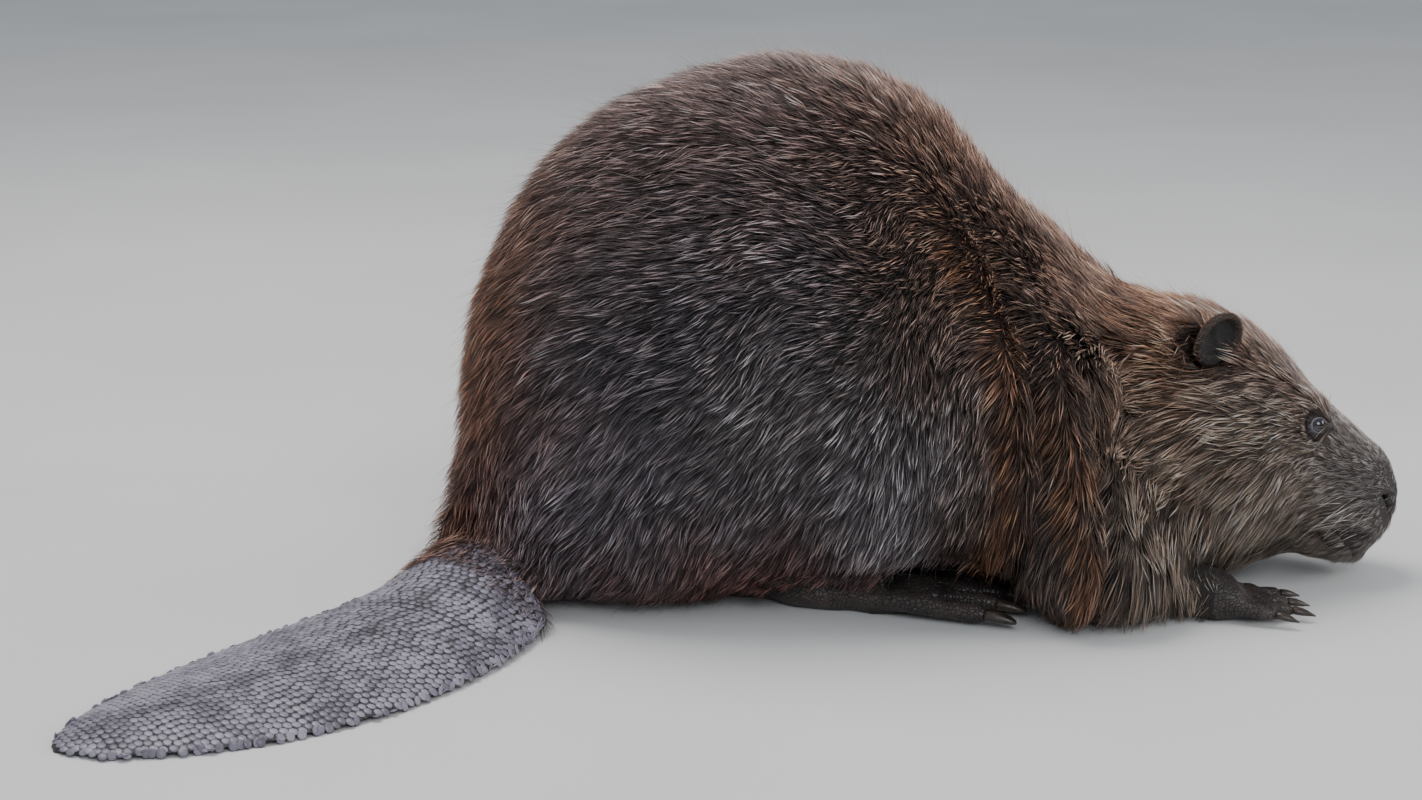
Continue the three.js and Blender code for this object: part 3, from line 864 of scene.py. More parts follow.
# %% Strokes of the comb
STROKES = [
    ((40, -20, 302), (-1.0, 0.0, -0.05)),  # top of the back
    ((-60, -20, 265), (-0.85, 0.0, -0.50)),
    ((-135, -20, 180), (-0.25, 0.0, -1.0)),  # rump
    ((-140, -20, 90), (-0.30, 0.0, -1.0)),
    ((0, -90, 245), (-0.93, 0.0, -0.35)),  # flank
    ((-60, -110, 180), (-0.90, 0.0, -0.45)),
    ((60, -115, 190), (-0.95, 0.0, -0.28)),
    ((30, -135, 125), (-0.85, 0.0, -0.50)),  # thigh
    ((50, -130, 70), (-0.50, 0.0, -0.85)),
    ((-60, -105, 80), (-0.50, 0.0, -0.85)),
    ((110, -120, 90), (-0.42, 0.0, -0.90)),
    ((-20, -90, 30), (-0.55, 0.0, -0.80)),
    ((130, -90, 220), (-0.80, 0.0, -0.55)),  # fold behind the elbow
    ((176, -110, 130), (-0.35, 0.0, -0.93)),
    ((150, -30, 265), (-0.90, 0.0, 0.45)),  # shoulders and nape
    ((190, -80, 180), (-0.80, 0.0, -0.50)),
    ((235, -15, 175), (-0.93, 0.0, 0.30)),
    ((240, -75, 115), (-0.88, 0.0, -0.45)),
    ((225, -90, 78), (-0.66, 0.0, -0.75)),
    ((285, -88, 84), (-0.88, 0.0, -0.47)),
    ((262, -96, 62), (-0.68, 0.0, -0.73)),  # chest and forearm
    ((300, -78, 52), (-0.70, 0.0, -0.71)),
    ((275, -92, 42), (-0.36, 0.0, -0.93)),
    ((232, -110, 38), (-0.42, 0.0, -0.90)),
    ((262, -100, 26), (-0.22, 0.0, -0.97)),
    ((285, -70, 30), (-0.12, 0.0, -0.99)),
    ((188, -118, 60), (0.05, 0.0, -1.0)),
    ((188, -118, 120), (-0.10, 0.0, -1.0)),
    ((295, -20, 152), (-0.92, 0.0, 0.38)),  # head
    ((365, -20, 78), (-0.85, 0.0, 0.50)),
    ((338, -50, 98), (-0.97, -0.10, 0.20)),
    ((300, -66, 90), (-1.0, 0.0, -0.06)),
    ((318, -55, 55), (-0.92, 0.0, -0.36)),
    ((368, -42, 45), (-0.85, -0.15, -0.25)),
    ((365, -18, 18), (-0.80, 0.0, -0.40)),
    ((290, -25, 20), (-0.55, 0.0, -0.75)),  # throat
    ((250, -20, 30), (-0.20, 0.0, -1.0)),
    ((40, -40, 25), (-0.80, -0.30, -0.20)),  # belly
]
TAIL_ROOT_STROKE = ((-112, -72, 50), (-0.45, -0.75, -0.50))  # the fur points along the swung tail
print("strokes of the comb:", len(STROKES), "on each side and one on the tail")

# %% [markdown]
# Each point of the skin takes the mean of all strokes, in which near ones weigh far more than
# distant ones, and the result is laid flat on the skin. A slow wander of a few degrees keeps it
# from looking ruled. At the eyes and ears the hair parts, as it does round anything that stands out
# of a coat.

# %% Comb the skin
EAR_FOOT = Vector((-32, 38, 18))  # in the head's axes


def flat_on(vectors, normal):
    vectors = vectors - np.einsum("ij,ij->i", vectors, normal)[:, None] * normal
    return vectors / np.maximum(np.linalg.norm(vectors, axis=1, keepdims=True), 1e-9)


def wander(points, wavelength, seed):
    """A slow, smooth random number from about -1 to 1 at each point, given in millimetres."""
    dice = np.random.default_rng(seed)
    total = np.zeros(len(points))
    for _ in range(7):
        wave = dice.normal(size=3)
        wave *= 2 * math.pi / wavelength / np.linalg.norm(wave) * dice.uniform(0.6, 1.5)
        total += np.sin(points @ wave + dice.uniform(0, 6.28))
    return total / 2.6


def combed(points, normal):
    strokes = list(STROKES) + [((x, -y, z), (dx, -dy, dz)) for (x, y, z), (dx, dy, dz) in STROKES]
    strokes.append(TAIL_ROOT_STROKE)
    total = np.zeros_like(points)
    for place, direction in strokes:
        away = np.linalg.norm(points - np.array(place, float), axis=1)
        total += (1 / (away**2 + 20**2) ** 2)[:, None] * np.array(direction)
    flow = flat_on(total, normal)
    turn = 0.16 * wander(points, 70, 11) + 0.12 * wander(points, 24, 12)
    return flat_on(flow + turn[:, None] * np.cross(normal, flow), normal)


flow_all = combed(work, normal_all)


def comb_round_eyes_and_ears(flow):
    """Hair parts in front of each eye and ear and closes again behind."""
    for side in SIDES.values():
        eye, ear = np.array(on_side(EYE_IN_HEAD, side)) / MM, np.array(on_side(EAR_FOOT, side))
        for centre, reach, strength in ((eye, 11, 1.1), (ear, 20, 1.0)):
            offset = head_all - centre
            push = strength * np.exp(-((np.linalg.norm(offset, axis=1) / reach) ** 2))
            flow = flow + push[:, None] * flat_on(offset @ TURN.T, normal_all)
    return flat_on(flow, normal_all)


flow_all = comb_round_eyes_and_ears(flow_all)
print("combed", len(flow_all), "points")

# %% [markdown]
# ## Markings
#
# Skin and coat take the same colours from one function. A dab of colour has a place, a size, the
# colour of the hair's shaft and that of its tip. Dabs melt into each other. Each dab needs two
# colours because the paler tip holds the painted highlight of wet hair: a pinkish painted sheen on
# the back, orange painted backlight on the rump and along the outline, and a bluish painted
# reflection of the sky on the flanks. Grey flanks, brown back, orange-brown crown and folds. In
# front of each fold the hair is darkened as painted shade.

# %% Dabs of colour
# Tip colours hold painted highlight: pinkish sheen on the back, orange backlight on the rump and
# outline, bluish reflected sky on the flanks.
DABS = {
    "back": ((25, 0, 300), (110, 95, 45), (78, 60, 58), (192, 160, 152)),
    "fore_back": ((130, 0, 262), (40, 70, 45), (76, 51, 40), (174, 124, 94)),
    "rump": ((-135, 0, 190), (42, 95, 90), (84, 55, 43), (178, 124, 96)),
    "upper_flank": ((-20, -95, 235), (90, 40, 42), (58, 46, 47), (160, 138, 136)),
    "flank": ((0, -125, 170), (100, 32, 44), (34, 29, 32), (140, 133, 142)),
    "fore_flank": ((118, -90, 205), (30, 50, 45), (54, 39, 33), (150, 116, 94)),
    "mid_thigh": ((53, -135, 124), (34, 34, 28), (80, 73, 71), (182, 173, 168)),
    "low_thigh": ((30, -135, 80), (60, 34, 30), (48, 42, 45), (148, 140, 146)),
    "hip_light": ((104, -135, 82), (24, 34, 24), (88, 83, 87), (204, 198, 204)),
    "hip_front": ((142, -120, 80), (16, 40, 50), (50, 40, 37), (132, 110, 100)),
    "seat": ((-90, -100, 60), (38, 50, 34), (84, 80, 88), (180, 175, 186)),
    "tail_side": ((-140, -20, 60), (25, 60, 60), (84, 52, 37), (178, 118, 84)),
    "heel": ((-15, -100, 28), (75, 70, 24), (68, 41, 37), (136, 92, 82)),
    "shoulder": ((195, -60, 185), (50, 60, 46), (60, 41, 35), (176, 138, 120)),
    "upper_arm": ((186, -112, 100), (15, 40, 60), (36, 26, 23), (100, 72, 58)),
    "arm": ((184, -118, 35), (15, 40, 34), (32, 27, 27), (92, 80, 79)),
    "neck": ((238, -80, 110), (40, 40, 46), (36, 26, 22), (186, 152, 128)),
    "chest": ((255, -85, 38), (46, 60, 40), (36, 28, 25), (206, 184, 166)),
    "crown": ((276, -12, 162), (36, 40, 24), (92, 55, 37), (204, 138, 96)),
    "forehead": ((330, -12, 130), (30, 40, 22), (66, 48, 42), (190, 164, 152)),
    "cheek": ((302, -70, 82), (36, 30, 32), (44, 35, 31), (200, 178, 162)),
    "jaw": ((315, -45, 35), (38, 45, 24), (54, 44, 39), (182, 164, 146)),
    "muzzle": ((374, -30, 48), (22, 34, 24), (88, 79, 78), (214, 202, 198)),
}
RIDGE = ((88, 53, 33), (190, 126, 80))
# The groove colours below darken the hair in front of each fold: painted shade in the crease.
GROOVE_PAINTED_SHADE = ((26, 19, 17), (84, 60, 48))
PLAIN = ((72, 54, 48), (148, 122, 106))


def linear(colour):
    """A colour in screen values, 0 to 255, as the linear light that shaders use."""
    c = np.asarray(colour, float) / 255
    return np.where(c <= 0.04045, c / 12.92, ((c + 0.055) / 1.055) ** 2.4)


def markings(points):
    """The colours of the shaft and the tip of a hair at each point; the paler tip holds painted
    highlight.
    """
    shaft = np.tile(linear(PLAIN[0]) * 0.05, (len(points), 1))
    tip = np.tile(linear(PLAIN[1]) * 0.05, (len(points), 1))
    total = np.full(len(points), 0.05)
    blur = 9 * np.stack([wander(points, 55, seed) for seed in (21, 22, 23)], 1)
    for (x, y, z), reach, shaft_colour, tip_colour in DABS.values():
        for mirror in (1, -1) if abs(y) > 15 else (1,):
            offset = (points + blur - (x, y * mirror, z)) / reach
            weight = np.exp(-0.5 * (offset**2).sum(1))
            shaft += weight[:, None] * linear(shaft_colour)
            tip += weight[:, None] * linear(tip_colour)
            total += weight
    ridge, groove = fold_marks(points + 0.5 * blur)
    # Ridges take an orange-brown; grooves are darkened as painted shade.
    for weight, (shaft_colour, tip_colour) in ((1.6 * ridge**2, RIDGE), (1.8 * groove, GROOVE_PAINTED_SHADE)):
        shaft += weight[:, None] * linear(shaft_colour)
        tip += weight[:, None] * linear(tip_colour)
        total += weight
    return shaft / total[:, None], tip / total[:, None]


shaft_all, tip_all = markings(work)
print("mean shaft colour:", [round(float(x), 3) for x in shaft_all.mean(0)])

# %% [markdown]
# ## How long, how wide, how many
#
# The coat's measures also follow the body: long wet locks on neck and chest, shorter ones on the
# thigh, a few millimetres on the face, almost nothing on the muzzle, and bare nose, soles, claws
# and tail. Width is that of one small lock of hairs that cling together, not of a single hair.

# %% Measures of the coat
def by_part(**values):
    return sum(value * part[name] for name, value in values.items())


head_x, head_z = head_all[:, 0], head_all[:, 2]
front = smoothstep(work[:, 0], 196, 222) * smoothstep(work[:, 2], 175, 120)  # neck, chest and forearm
hanging = front * smoothstep(work[:, 2], 75, 30)
face_length = np.interp(head_x, [-60, -20, 10, 30, 45, 70, 88, 97], [27, 23, 19, 16, 13, 9, 6.2, 3.4])
cheek_length = 6 * smoothstep(head_z, 0, -25) * smoothstep(head_x, 50, 0)
length_all = by_part(trunk=16, neck=24, haunch=14.5, foreleg=19, feet=4, tail=12, ear=4.0)
length_all += part["head"] * (face_length + cheek_length) + 6 * hanging
width_all = by_part(trunk=0.95, neck=1.25, haunch=0.85, foreleg=1.1, feet=0.6, tail=0.8, ear=0.4)
width_all += part["head"] * np.interp(head_x, [-50, 0, 40, 70, 95], [1.15, 0.85, 0.60, 0.42, 0.30])
crowd_all = by_part(trunk=1.0, neck=1.0, haunch=1.1, foreleg=1.0, feet=0.7, tail=1.0, ear=3.0)
crowd_all += part["head"] * np.interp(head_x, [-50, 0, 40, 70, 95], [1.3, 2.0, 4.0, 6.5, 8.5])
clump_all = 6 + 10 * front * (1 - part["head"]) + 3 * part["head"] * smoothstep(head_x, 30, -30)
wet_all = 0.50 + 0.35 * front * (1 - part["head"]) + 0.15 * part["head"] * smoothstep(head_x, 60, 0)
throat = np.exp(-(((work[:, 0] - 302) / 26) ** 2))
throat *= smoothstep(work[:, 2], 74, 50) * smoothstep(normal_all[:, 2], 0.1, -0.5)
length_all += 12 * throat
depth_all = extended(skin_depth, 1.2, 1.2) + 4.0 * part["tail"] + 9 * throat


TAIL_FUR = 20  # how far the fur grows over the tail
NOSE_PAD = ((99, 0, -16), (13, 20, 13))  # middle and half sizes, head axes
NOSTRIL_BARE = 10


def from_eye(at, side):
    """How far points lie out along an eye's axis and how far off that axis, in millimetres."""
    offset = at - np.array(on_side(EYE_IN_HEAD, side)) / MM
    height = offset @ np.array(EYE_OUT[side])
    return height, np.sqrt(np.maximum((offset**2).sum(1) - height**2, 0))


def bare_places():
    """How bare nose, feet, tail and the whole skin are, from 0 where hair grows to 1."""
    pad = np.linalg.norm((head_all - NOSE_PAD[0]) / NOSE_PAD[1], axis=1)
    rim = np.linalg.norm(folded(head_all) - (NOSTRIL.x - 1, NOSTRIL.y, NOSTRIL.z), axis=1) / NOSTRIL_BARE
    nose = 1 - smoothstep(np.minimum(pad, rim), 0.92, 1.12)
    beyond_wrist = smoothstep(work[:, 0], 272, 282)
    feet = smoothstep(part["feet"], 0.35, 0.62) * np.where(part["hand"] > 0.3, beyond_wrist, 1)
    beyond_fur = beyond_tail_cut(work) + 3 * wander(work, 18, 31)
    tail = smoothstep(beyond_fur, TAIL_FUR - 3, TAIL_FUR + 3) * (work[:, 2] < 90)
    ear = is_ear * (ear_rim < 0.4)
    lid = np.zeros(len(skin_all))
    for side in SIDES.values():
        height, reach = from_eye(head_all, side)
        lid = np.maximum(lid, (1 - smoothstep(reach, 4.1, 5.1)) * (height > -8))
    floor = 1 - smoothstep(work[:, 2], 1.0, 3.0)
    return nose, feet, tail, np.clip(nose + feet + tail + ear + lid + floor, 0, 1)


nose_bare, feet_bare, tail_bare, bare_all = bare_places()
crowd_all *= 1 - bare_all
print("longest hair:", round(float(length_all.max()), 1), "mm")

# %% [markdown]
# ## Finishes of the skin
#
# Under the fur the skin repeats the coat's shaft colours, darkened to about a third as painted shade
# deep in the coat, with a fine grain in its bump. Bare skin on feet and ears is dark and leathery,
# wrinkled by a cell pattern. The nose pad is a wet, pebbled leather, and the edges of the lids are
# pale and wet. Mouth line, cleft and nostrils are darkened on every skin finish as painted shade in
# these recesses.

# %% Skin materials
def tinted(colour):
    return tuple(float(x) for x in linear(colour))


def coat_skin_material():
    look = Look("fur_ground", 0.8)
    grain = look.bump(look.cloud(900, 2.0), 0.4 * MM)
    return look.finish(look.attribute("coat")["Color"], grain)


def leather_material(name, dark, light, wrinkle_scale, depth, roughness):
    look = Look(name, roughness)
    colour = look.ramp(look.cloud(60, 4.0), (0.32, tinted(dark)), (0.70, tinted(light)))
    place = look.node("ShaderNodeTexCoord")["Object"]
    to_edge = {"feature": "DISTANCE_TO_EDGE"}
    cells = look.node("ShaderNodeTexVoronoi", to_edge, Vector=place, Scale=wrinkle_scale)["Distance"]
    creases = look.node("ShaderNodeMapRange", Value=cells, From_Max=0.12)["Result"]
    wrinkled = look.bump(creases, depth * MM)
    grained = look.bump(look.cloud(wrinkle_scale * 5), depth * 0.5 * MM, 0.6, Normal=wrinkled)
    # The colour is darkened by the shade attribute: painted shade in the mouth line, the cleft and the
    # nostrils.
    return look.finish(look.multiplied(colour, look.attribute("shade")["Color"]), grained)


LEATHERS = {  # dark, light, wrinkles in a metre, their depth in millimetres, roughness
    "foot_skin": ((34, 29, 28), (72, 62, 58), 420, 0.5, 0.42),
    "nose_leather": ((16, 15, 17), (58, 56, 62), 1100, 0.5, 0.26),
    "tail_ground": ((36, 34, 38), (58, 55, 60), 260, 0.4, 0.50),
    "ear_skin": ((18, 16, 16), (58, 53, 52), 600, 0.25, 0.55),
    "lid_skin": ((70, 67, 71), (138, 134, 140), 900, 0.12, 0.25),
}
skin_materials = [coat_skin_material()]
skin_materials += [leather_material(name, *settings) for name, settings in LEATHERS.items()]
FUR_GROUND, FOOT_SKIN, NOSE_LEATHER, TAIL_GROUND, EAR_SKIN, LID_SKIN = range(6)
print("finishes of the skin:", [material.name for material in skin_materials])

# %% [markdown]
# Where the corners of a face ask for different finishes, the barer one wins, so that no fur ground
# shows round the nose or the lids.

# %% A finish for each face
def face_finishes():
    finish = np.full(len(skin_all), FUR_GROUND)
    finish[feet_bare > 0.5] = FOOT_SKIN
    finish[tail_bare > 0.5] = TAIL_GROUND
    finish[is_ear] = EAR_SKIN
    finish[nose_bare > 0.5] = NOSE_LEATHER
    for side in SIDES.values():
        reach = from_eye(head_all, side)[1]
        finish[is_lid & (reach < 4.9)] = EAR_SKIN
        finish[is_lid & (reach < 4.5)] = LID_SKIN
    return finish[tris_all].max(1)


finish_all = face_finishes()
print("faces of each finish:", np.bincount(finish_all).tolist())

# %% [markdown]
# The skin is made into a piece now. It gets an unwrap of its own shape, which the coat uses to keep
# its colours in order. After that, faces that lie deep under fur are merged, so that the piece
# stays light where nobody sees it.

# %% Build the skin piece
def vertex_colours(thing, name, colours):
    layer = thing.data.color_attributes.new(name, "FLOAT_COLOR", "POINT")
    rgba = np.ones((len(colours), 4), np.float32)
    rgba[:, :3] = colours
    layer.data.foreach_set("color", rgba.ravel())


def unwrap(thing):
    bpy.context.view_layer.objects.active = thing
    thing.select_set(True)
    bpy.ops.object.mode_set(mode="EDIT")
    bpy.ops.mesh.select_all(action="SELECT")
    bpy.ops.uv.smart_project(angle_limit=math.radians(70), island_margin=0.002)
    bpy.ops.object.mode_set(mode="OBJECT")
    thing.select_set(False)
    thing.data.uv_layers.active.name = "OFBake"
    uv = np.empty(len(thing.data.loops) * 2, np.float32)
    thing.data.uv_layers["OFBake"].data.foreach_get("uv", uv)
    return uv.reshape(-1, 3, 2)


SKIN_FACES = 196000
LEAST_FUR = 5  # millimetres of coat that hide a coarser skin


def thin_under_fur(thing):
    """Merges small faces where fur hides them. The unwrap and the colours stay in place."""
    hidden = thing.vertex_groups.new(name="hidden")
    deep = np.flatnonzero((depth_all > LEAST_FUR) & (bare_all < 0.01) & ~is_ear & ~is_lid)
    hidden.add(deep.tolist(), 1.0, "REPLACE")
    thinner = thing.modifiers.new("thinner", "DECIMATE")
    thinner.ratio = SKIN_FACES / len(thing.data.polygons)
    thinner.vertex_group = hidden.name
    full, thing.data = thing.data, finished_mesh(thing)
    thing.modifiers.remove(thinner)
    thing.vertex_groups.clear()
    bpy.data.meshes.remove(full)
    thing.data.name = thing.name


skin = object_from("skin", skin_all, tris_all)
for material in skin_materials:
    skin.data.materials.append(material)
skin.data.polygons.foreach_set("material_index", finish_all.astype(np.int32))
mouth_shade_all = extended(mouth_shade_mark, 0, 0)
# shade darkens the mouth line, the cleft and the nostril pits: painted shade in these recesses.
shade = np.repeat(1 - 0.9 * np.clip(mouth_shade_all, 0, 1)[:, None], 3, axis=1)
vertex_colours(skin, "shade", shade)
# The skin under the fur takes the shaft colour at about a third: painted shade deep in the coat.
vertex_colours(skin, "coat", shaft_all * 0.36 * shade)
skin_uv = unwrap(skin)
thin_under_fur(skin)
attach(skin, BODY)
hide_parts(*FLESH)
print("skin unwrapped:", skin_uv.shape, "and thinned to", len(skin.data.polygons), "faces")

# %% [markdown]
# ## The coat
#
# Particle hair would be lost on export, so the coat is solid mesh. Three kinds of spike are enough,
# each with three sides. A lock is bent and broad. A guard hair is thin and straight, and there are
# many of them. A few stray hairs stand off from the rest. All are built for thousands of roots at
# once in arrays, which takes seconds. Wet fur clumps: each root looks for the nearest leader and
# bends its tip towards that one's tip, which leaves dark gaps between bright points.

# %% Roots, sown evenly by area
SEED = 7


def sow(count, seed):
    """Roots spread over the skin by area and crowding, with every value of the skin at each root."""
    dice = np.random.default_rng(seed)
    area = np.linalg.norm(across_faces(skin_all, tris_all), axis=1) / 2
    weight = area * crowd_all[tris_all].mean(1)
    ladder = np.cumsum(weight) / weight.sum()
    stops = (np.arange(count) + dice.random(count)) / count
    face = np.searchsorted(ladder, stops).clip(0, len(ladder) - 1)
    u, v = dice.random((2, count))
    u, v = np.where(u + v > 1, 1 - u, u), np.where(u + v > 1, 1 - v, v)
    bary = np.stack([1 - u - v, u, v], 1)

    def at(values):
        return np.einsum("ij,ij...->i...", bary, values[tris_all[face]])

    fields = {
        "place": skin_all, "normal": normal_all, "flow": flow_all, "length": length_all,
        "width": width_all, "depth": depth_all, "shaft": shaft_all, "tip": tip_all,
        "clump": clump_all, "wet": wet_all,
    }
    roots = {name: at(values) for name, values in fields.items()}
    roots["uv"] = np.einsum("ij,ijk->ik", bary, skin_uv[face])
    roots["normal"] /= np.linalg.norm(roots["normal"], axis=1, keepdims=True)
    roots["flow"] = flat_on(roots["flow"], roots["normal"])
    return roots


def nearest_of(places, leader_places):
    tree = KDTree(len(leader_places))
    for index, place in enumerate(leader_places):
        tree.insert(place, index)
    tree.balance()
    return np.array([tree.find(place)[1] for place in places])


print("crowding of the roots: 0 to", round(float(crowd_all.max()), 1))

# %% [markdown]
# A strand rises from its root and lies down again, so that its tip ends near the outline that the
# solids give. How strongly it bends towards its leader depends on how wet the coat is at its root.

# %% Lines of the strands
# light and tip_light are painted light: locks and strays are brightened, locks with paler tips, as
# painted highlight, and the many thin hairs between them are darkened as painted shade.
KINDS = {  # a ring has its place along the strand and its share of the width; the tip comes last
    "locks": {
        "count": 42000, "root_seed": SEED, "bend_seed": SEED + 2, "rings": ((0.0, 1.0), (0.5, 0.85)),
        "cling": 1.0, "lift": 1.0, "length": 1.0, "width": 0.95, "light": 1.4, "tip_light": 1.15,
    },
    "hairs": {
        "count": 250000, "root_seed": SEED + 1, "bend_seed": SEED + 3, "rings": ((0.0, 1.0),),
        "cling": 0.9, "lift": 0.9, "length": 0.85, "width": 0.58, "light": 0.9, "tip_light": 0.45,
    },
    "strays": {
        "count": 8000, "root_seed": SEED + 4, "bend_seed": SEED + 5, "rings": ((0.0, 1.0),),
        "cling": 0.1, "lift": 2.2, "length": 1.25, "width": 0.42, "light": 1.3, "tip_light": 0.9,
    },
}


def lines_of(roots, lift, length, curl, shares_along):
    """Middle points of each strand at the given shares of its length, 0 at the root."""
    side = np.cross(roots["normal"], roots["flow"])
    points = []
    for t in shares_along:
        rise = lift * (1 - (1 - t) ** 1.7) - 0.8 * MM * (1 - t)
        ahead, aside = length * t, length * curl * t * t
        point = roots["place"] + roots["flow"] * ahead[:, None] + roots["normal"] * rise[:, None]
        points.append(point + side * aside[:, None])
    return points


def clumped_lines(roots, kind, dice, along):
    """Middle lines of the strands, each bent towards its leader, their widths and their leaders."""
    count = kind["count"]
    leaders = np.flatnonzero(dice.random(count) < 1 / roots["clump"])
    led_by = leaders[nearest_of(roots["place"], roots["place"][leaders])]
    length = roots["length"] * MM * kind["length"] * dice.uniform(0.75, 1.25, count)
    lift = roots["depth"] * MM * kind["lift"] * dice.uniform(0.55, 1.05, count)
    curl = dice.normal(0, 0.10, count)
    width = roots["width"] * MM * kind["width"] * dice.uniform(0.7, 1.3, count)
    own = lines_of(roots, lift, length, curl, along)
    leader = {key: values[led_by] for key, values in roots.items()}
    lead = lines_of(leader, lift[led_by], length[led_by], curl[led_by], along)
    reach = np.linalg.norm(own[-1] - lead[-1], axis=1)
    near = np.clip(1.6 - reach / (length + 1e-6), 0, 1)
    pull = kind["cling"] * roots["wet"] * near * dice.uniform(0.6, 1.0, count)
    pairs = zip(along, own, lead)
    points = [mine + (theirs - mine) * (pull * t**1.5)[:, None] for t, mine, theirs in pairs]
    return points, width, led_by


print("kinds of strand:", {name: kind["count"] for name, kind in KINDS.items()})

# %% [markdown]
# Each line becomes a spike with three sides. Its patch on the unwrap is a few thousandths across,
# at its root's place, and holds the fade from painted shade at the root to the tip's painted highlight.

# %% Strands as arrays
PATCH = 0.003


def spike_faces(rings):
    """Faces of a spike with three corners to a ring, a closed foot and a tip that is its last point."""
    sides = ((0, 1), (1, 2), (2, 0))
    faces = [(0, 2, 1)]
    for start in range(0, 3 * (rings - 1), 3):
        for a, b in sides:
            a, b = a + start, b + start
            faces += [(a, b, b + 3), (a, b + 3, a + 3)]
    last = 3 * (rings - 1)
    return np.array(faces + [(last + a, last + b, last + 3) for a, b in sides])


def strands(roots, kind):
    """Corners, the faces of one strand, colours and places on the unwrap, for all strands of a kind."""
    dice = np.random.default_rng(kind["bend_seed"])
    along = [t for t, _ in kind["rings"]] + [1.0]
    points, width, led_by = clumped_lines(roots, kind, dice, along)
    side = np.cross(roots["normal"], flat_on(points[-1] - points[0], roots["normal"]))
    count, rings = kind["count"], len(kind["rings"])
    vertices = np.empty((count, rings * 3 + 1, 3))
    for ring, (_, girth) in enumerate(kind["rings"]):
        half = (width * girth / 2)[:, None]
        vertices[:, ring * 3] = points[ring] - side * half
        vertices[:, ring * 3 + 1] = points[ring] + side * half
        vertices[:, ring * 3 + 2] = points[ring] + roots["normal"] * half * 0.9
    vertices[:, -1] = points[-1]
    vertices[..., 2] = np.maximum(vertices[..., 2], 0.2 * MM)
    clump_light, own_light = dice.normal(0, 0.36, count)[led_by], dice.normal(0, 0.32, count)
    light = kind["light"] * np.exp(clump_light + own_light)[:, None]
    light = light * (1 + dice.normal(0, 0.05, count)[:, None] * (1, 0, -1))  # some warmer, some colder
    tip = roots["shaft"] * (1 - kind["tip_light"]) + roots["tip"] * kind["tip_light"]
    colours = np.empty_like(vertices)
    # Each strand fades from painted shade at its root, about a quarter of its colour, to its tip with
    # its painted highlight.
    for ring, (t, _) in enumerate(kind["rings"]):
        mixed = roots["shaft"] + (tip - roots["shaft"]) * t**1.4
        colours[:, ring * 3 : ring * 3 + 3] = (mixed * light * (0.24 + 0.66 * t))[:, None]
    colours[:, -1] = tip * light
    across = np.array([0.0, 1.0, 0.5] * rings + [0.5])
    down = np.array([t for t in along[:-1] for _ in range(3)] + [1.0])
    uv = roots["uv"][:, None] + PATCH * (np.stack([across, down], 1) - 0.5)[None]
    return vertices, spike_faces(rings), np.clip(colours, 0, 1), uv


coat = []
for kind_name, kind in KINDS.items():
    roots = sow(kind["count"], kind["root_seed"])
    coat.append((roots["place"][:, 0], *strands(roots, kind)))
    print(kind_name, kind["count"], "of", len(coat[-1][2]), "triangles")

# %% [markdown]
# ## Coat pieces
#
# The strands are dealt into bands from the tail end to the nose, so that each piece stays small
# enough to handle. The finish reads the strand's colours, with their painted highlight and shade,
# and a slow cloudiness over the body. Wet hair is smooth, so it is glossier than dry fur.

# %% Coat material and bands
BAND_TRIANGLES = 185000


def hair_material():
    look = Look("wet_guard_hair", 0.34, Specular_IOR_Level=0.6)
    level = look.ramp(look.cloud(38, 4.0), (0.30, (0.78,) * 3), (0.68, (1.12,) * 3))
    return look.finish(look.multiplied(look.attribute("coat")["Color"], level))


def coat_piece(name, batches, material):
    vertices, faces, colours, uvs, start = [], [], [], [], 0
    for co, pattern, colour, uv in batches:
        count, each = co.shape[:2]
        vertices.append(co.reshape(-1, 3))
        faces.append((pattern[None] + (np.arange(count) * each)[:, None, None]).reshape(-1, 3) + start)
        colours.append(colour.reshape(-1, 3))
        uvs.append(uv.reshape(-1, 2))
        start += count * each
    vertices, faces = np.concatenate(vertices), np.concatenate(faces)
    piece = object_from(name, vertices, faces, material)
    vertex_colours(piece, "coat", np.concatenate(colours))
    layer = piece.data.uv_layers.new(name="OFBake")
    layer.data.foreach_set("uv", np.concatenate(uvs)[faces.ravel()].astype(np.float32).ravel())
    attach(piece, BODY)
    return len(faces)


def make_coat():
    material = hair_material()
    everything = np.concatenate([np.repeat(x, len(faces)) for x, _, faces, _, _ in coat])
    bands = math.ceil(len(everything) / BAND_TRIANGLES)
    borders = np.quantile(everything, np.linspace(0, 1, bands + 1))
    borders[0], borders[-1] = -9, 9
    for band in range(bands):
        batches = []
        for x, co, faces, colour, uv in coat:
            mine = (x >= borders[band]) & (x < borders[band + 1])
            batches.append((co[mine], faces, colour[mine], uv[mine]))
        count = coat_piece(f"coat_band_{band + 1}", batches, material)
        print("  band", band + 1, "has", count, "triangles")


make_coat()

# %% [markdown]
# ## Scales
#
# The bare tail is covered with small flat scales in rows across it, each row set half a scale aside
# from the one before, and each scale's rear edge a little raised. The script finds the places: it
# walks down the tail, lays a loop of points round it and lets each one drop onto the skin. Geometry
# Nodes then set one scale on each place.

# %% Places for the scales
TAIL_LENGTH = 296
TAIL_START = math.radians(247)  # heading at the root
TAIL_BEND = math.radians(35) / TAIL_LENGTH  # how fast the heading falls along it
TAIL_HALF = 76  # half its width
ROW_STEP = 3.7
SCALE_STEP = 5.2
LOWEST_SCALE = 2.2  # above the floor


def tail_place(s):
    """Middle of the tail at s millimetres from its root, and the ways along and across it."""
    heading = TAIL_START - TAIL_BEND * s
    x = TAIL_BASE[0] + (math.sin(TAIL_START) - math.sin(heading)) / TAIL_BEND
    y = TAIL_BASE[1] + (math.cos(heading) - math.cos(TAIL_START)) / TAIL_BEND
    along = np.array((math.cos(heading), math.sin(heading), 0.0))
    return np.array((x, y, 0.0)), along, np.array((-along[1], along[0], 0.0))


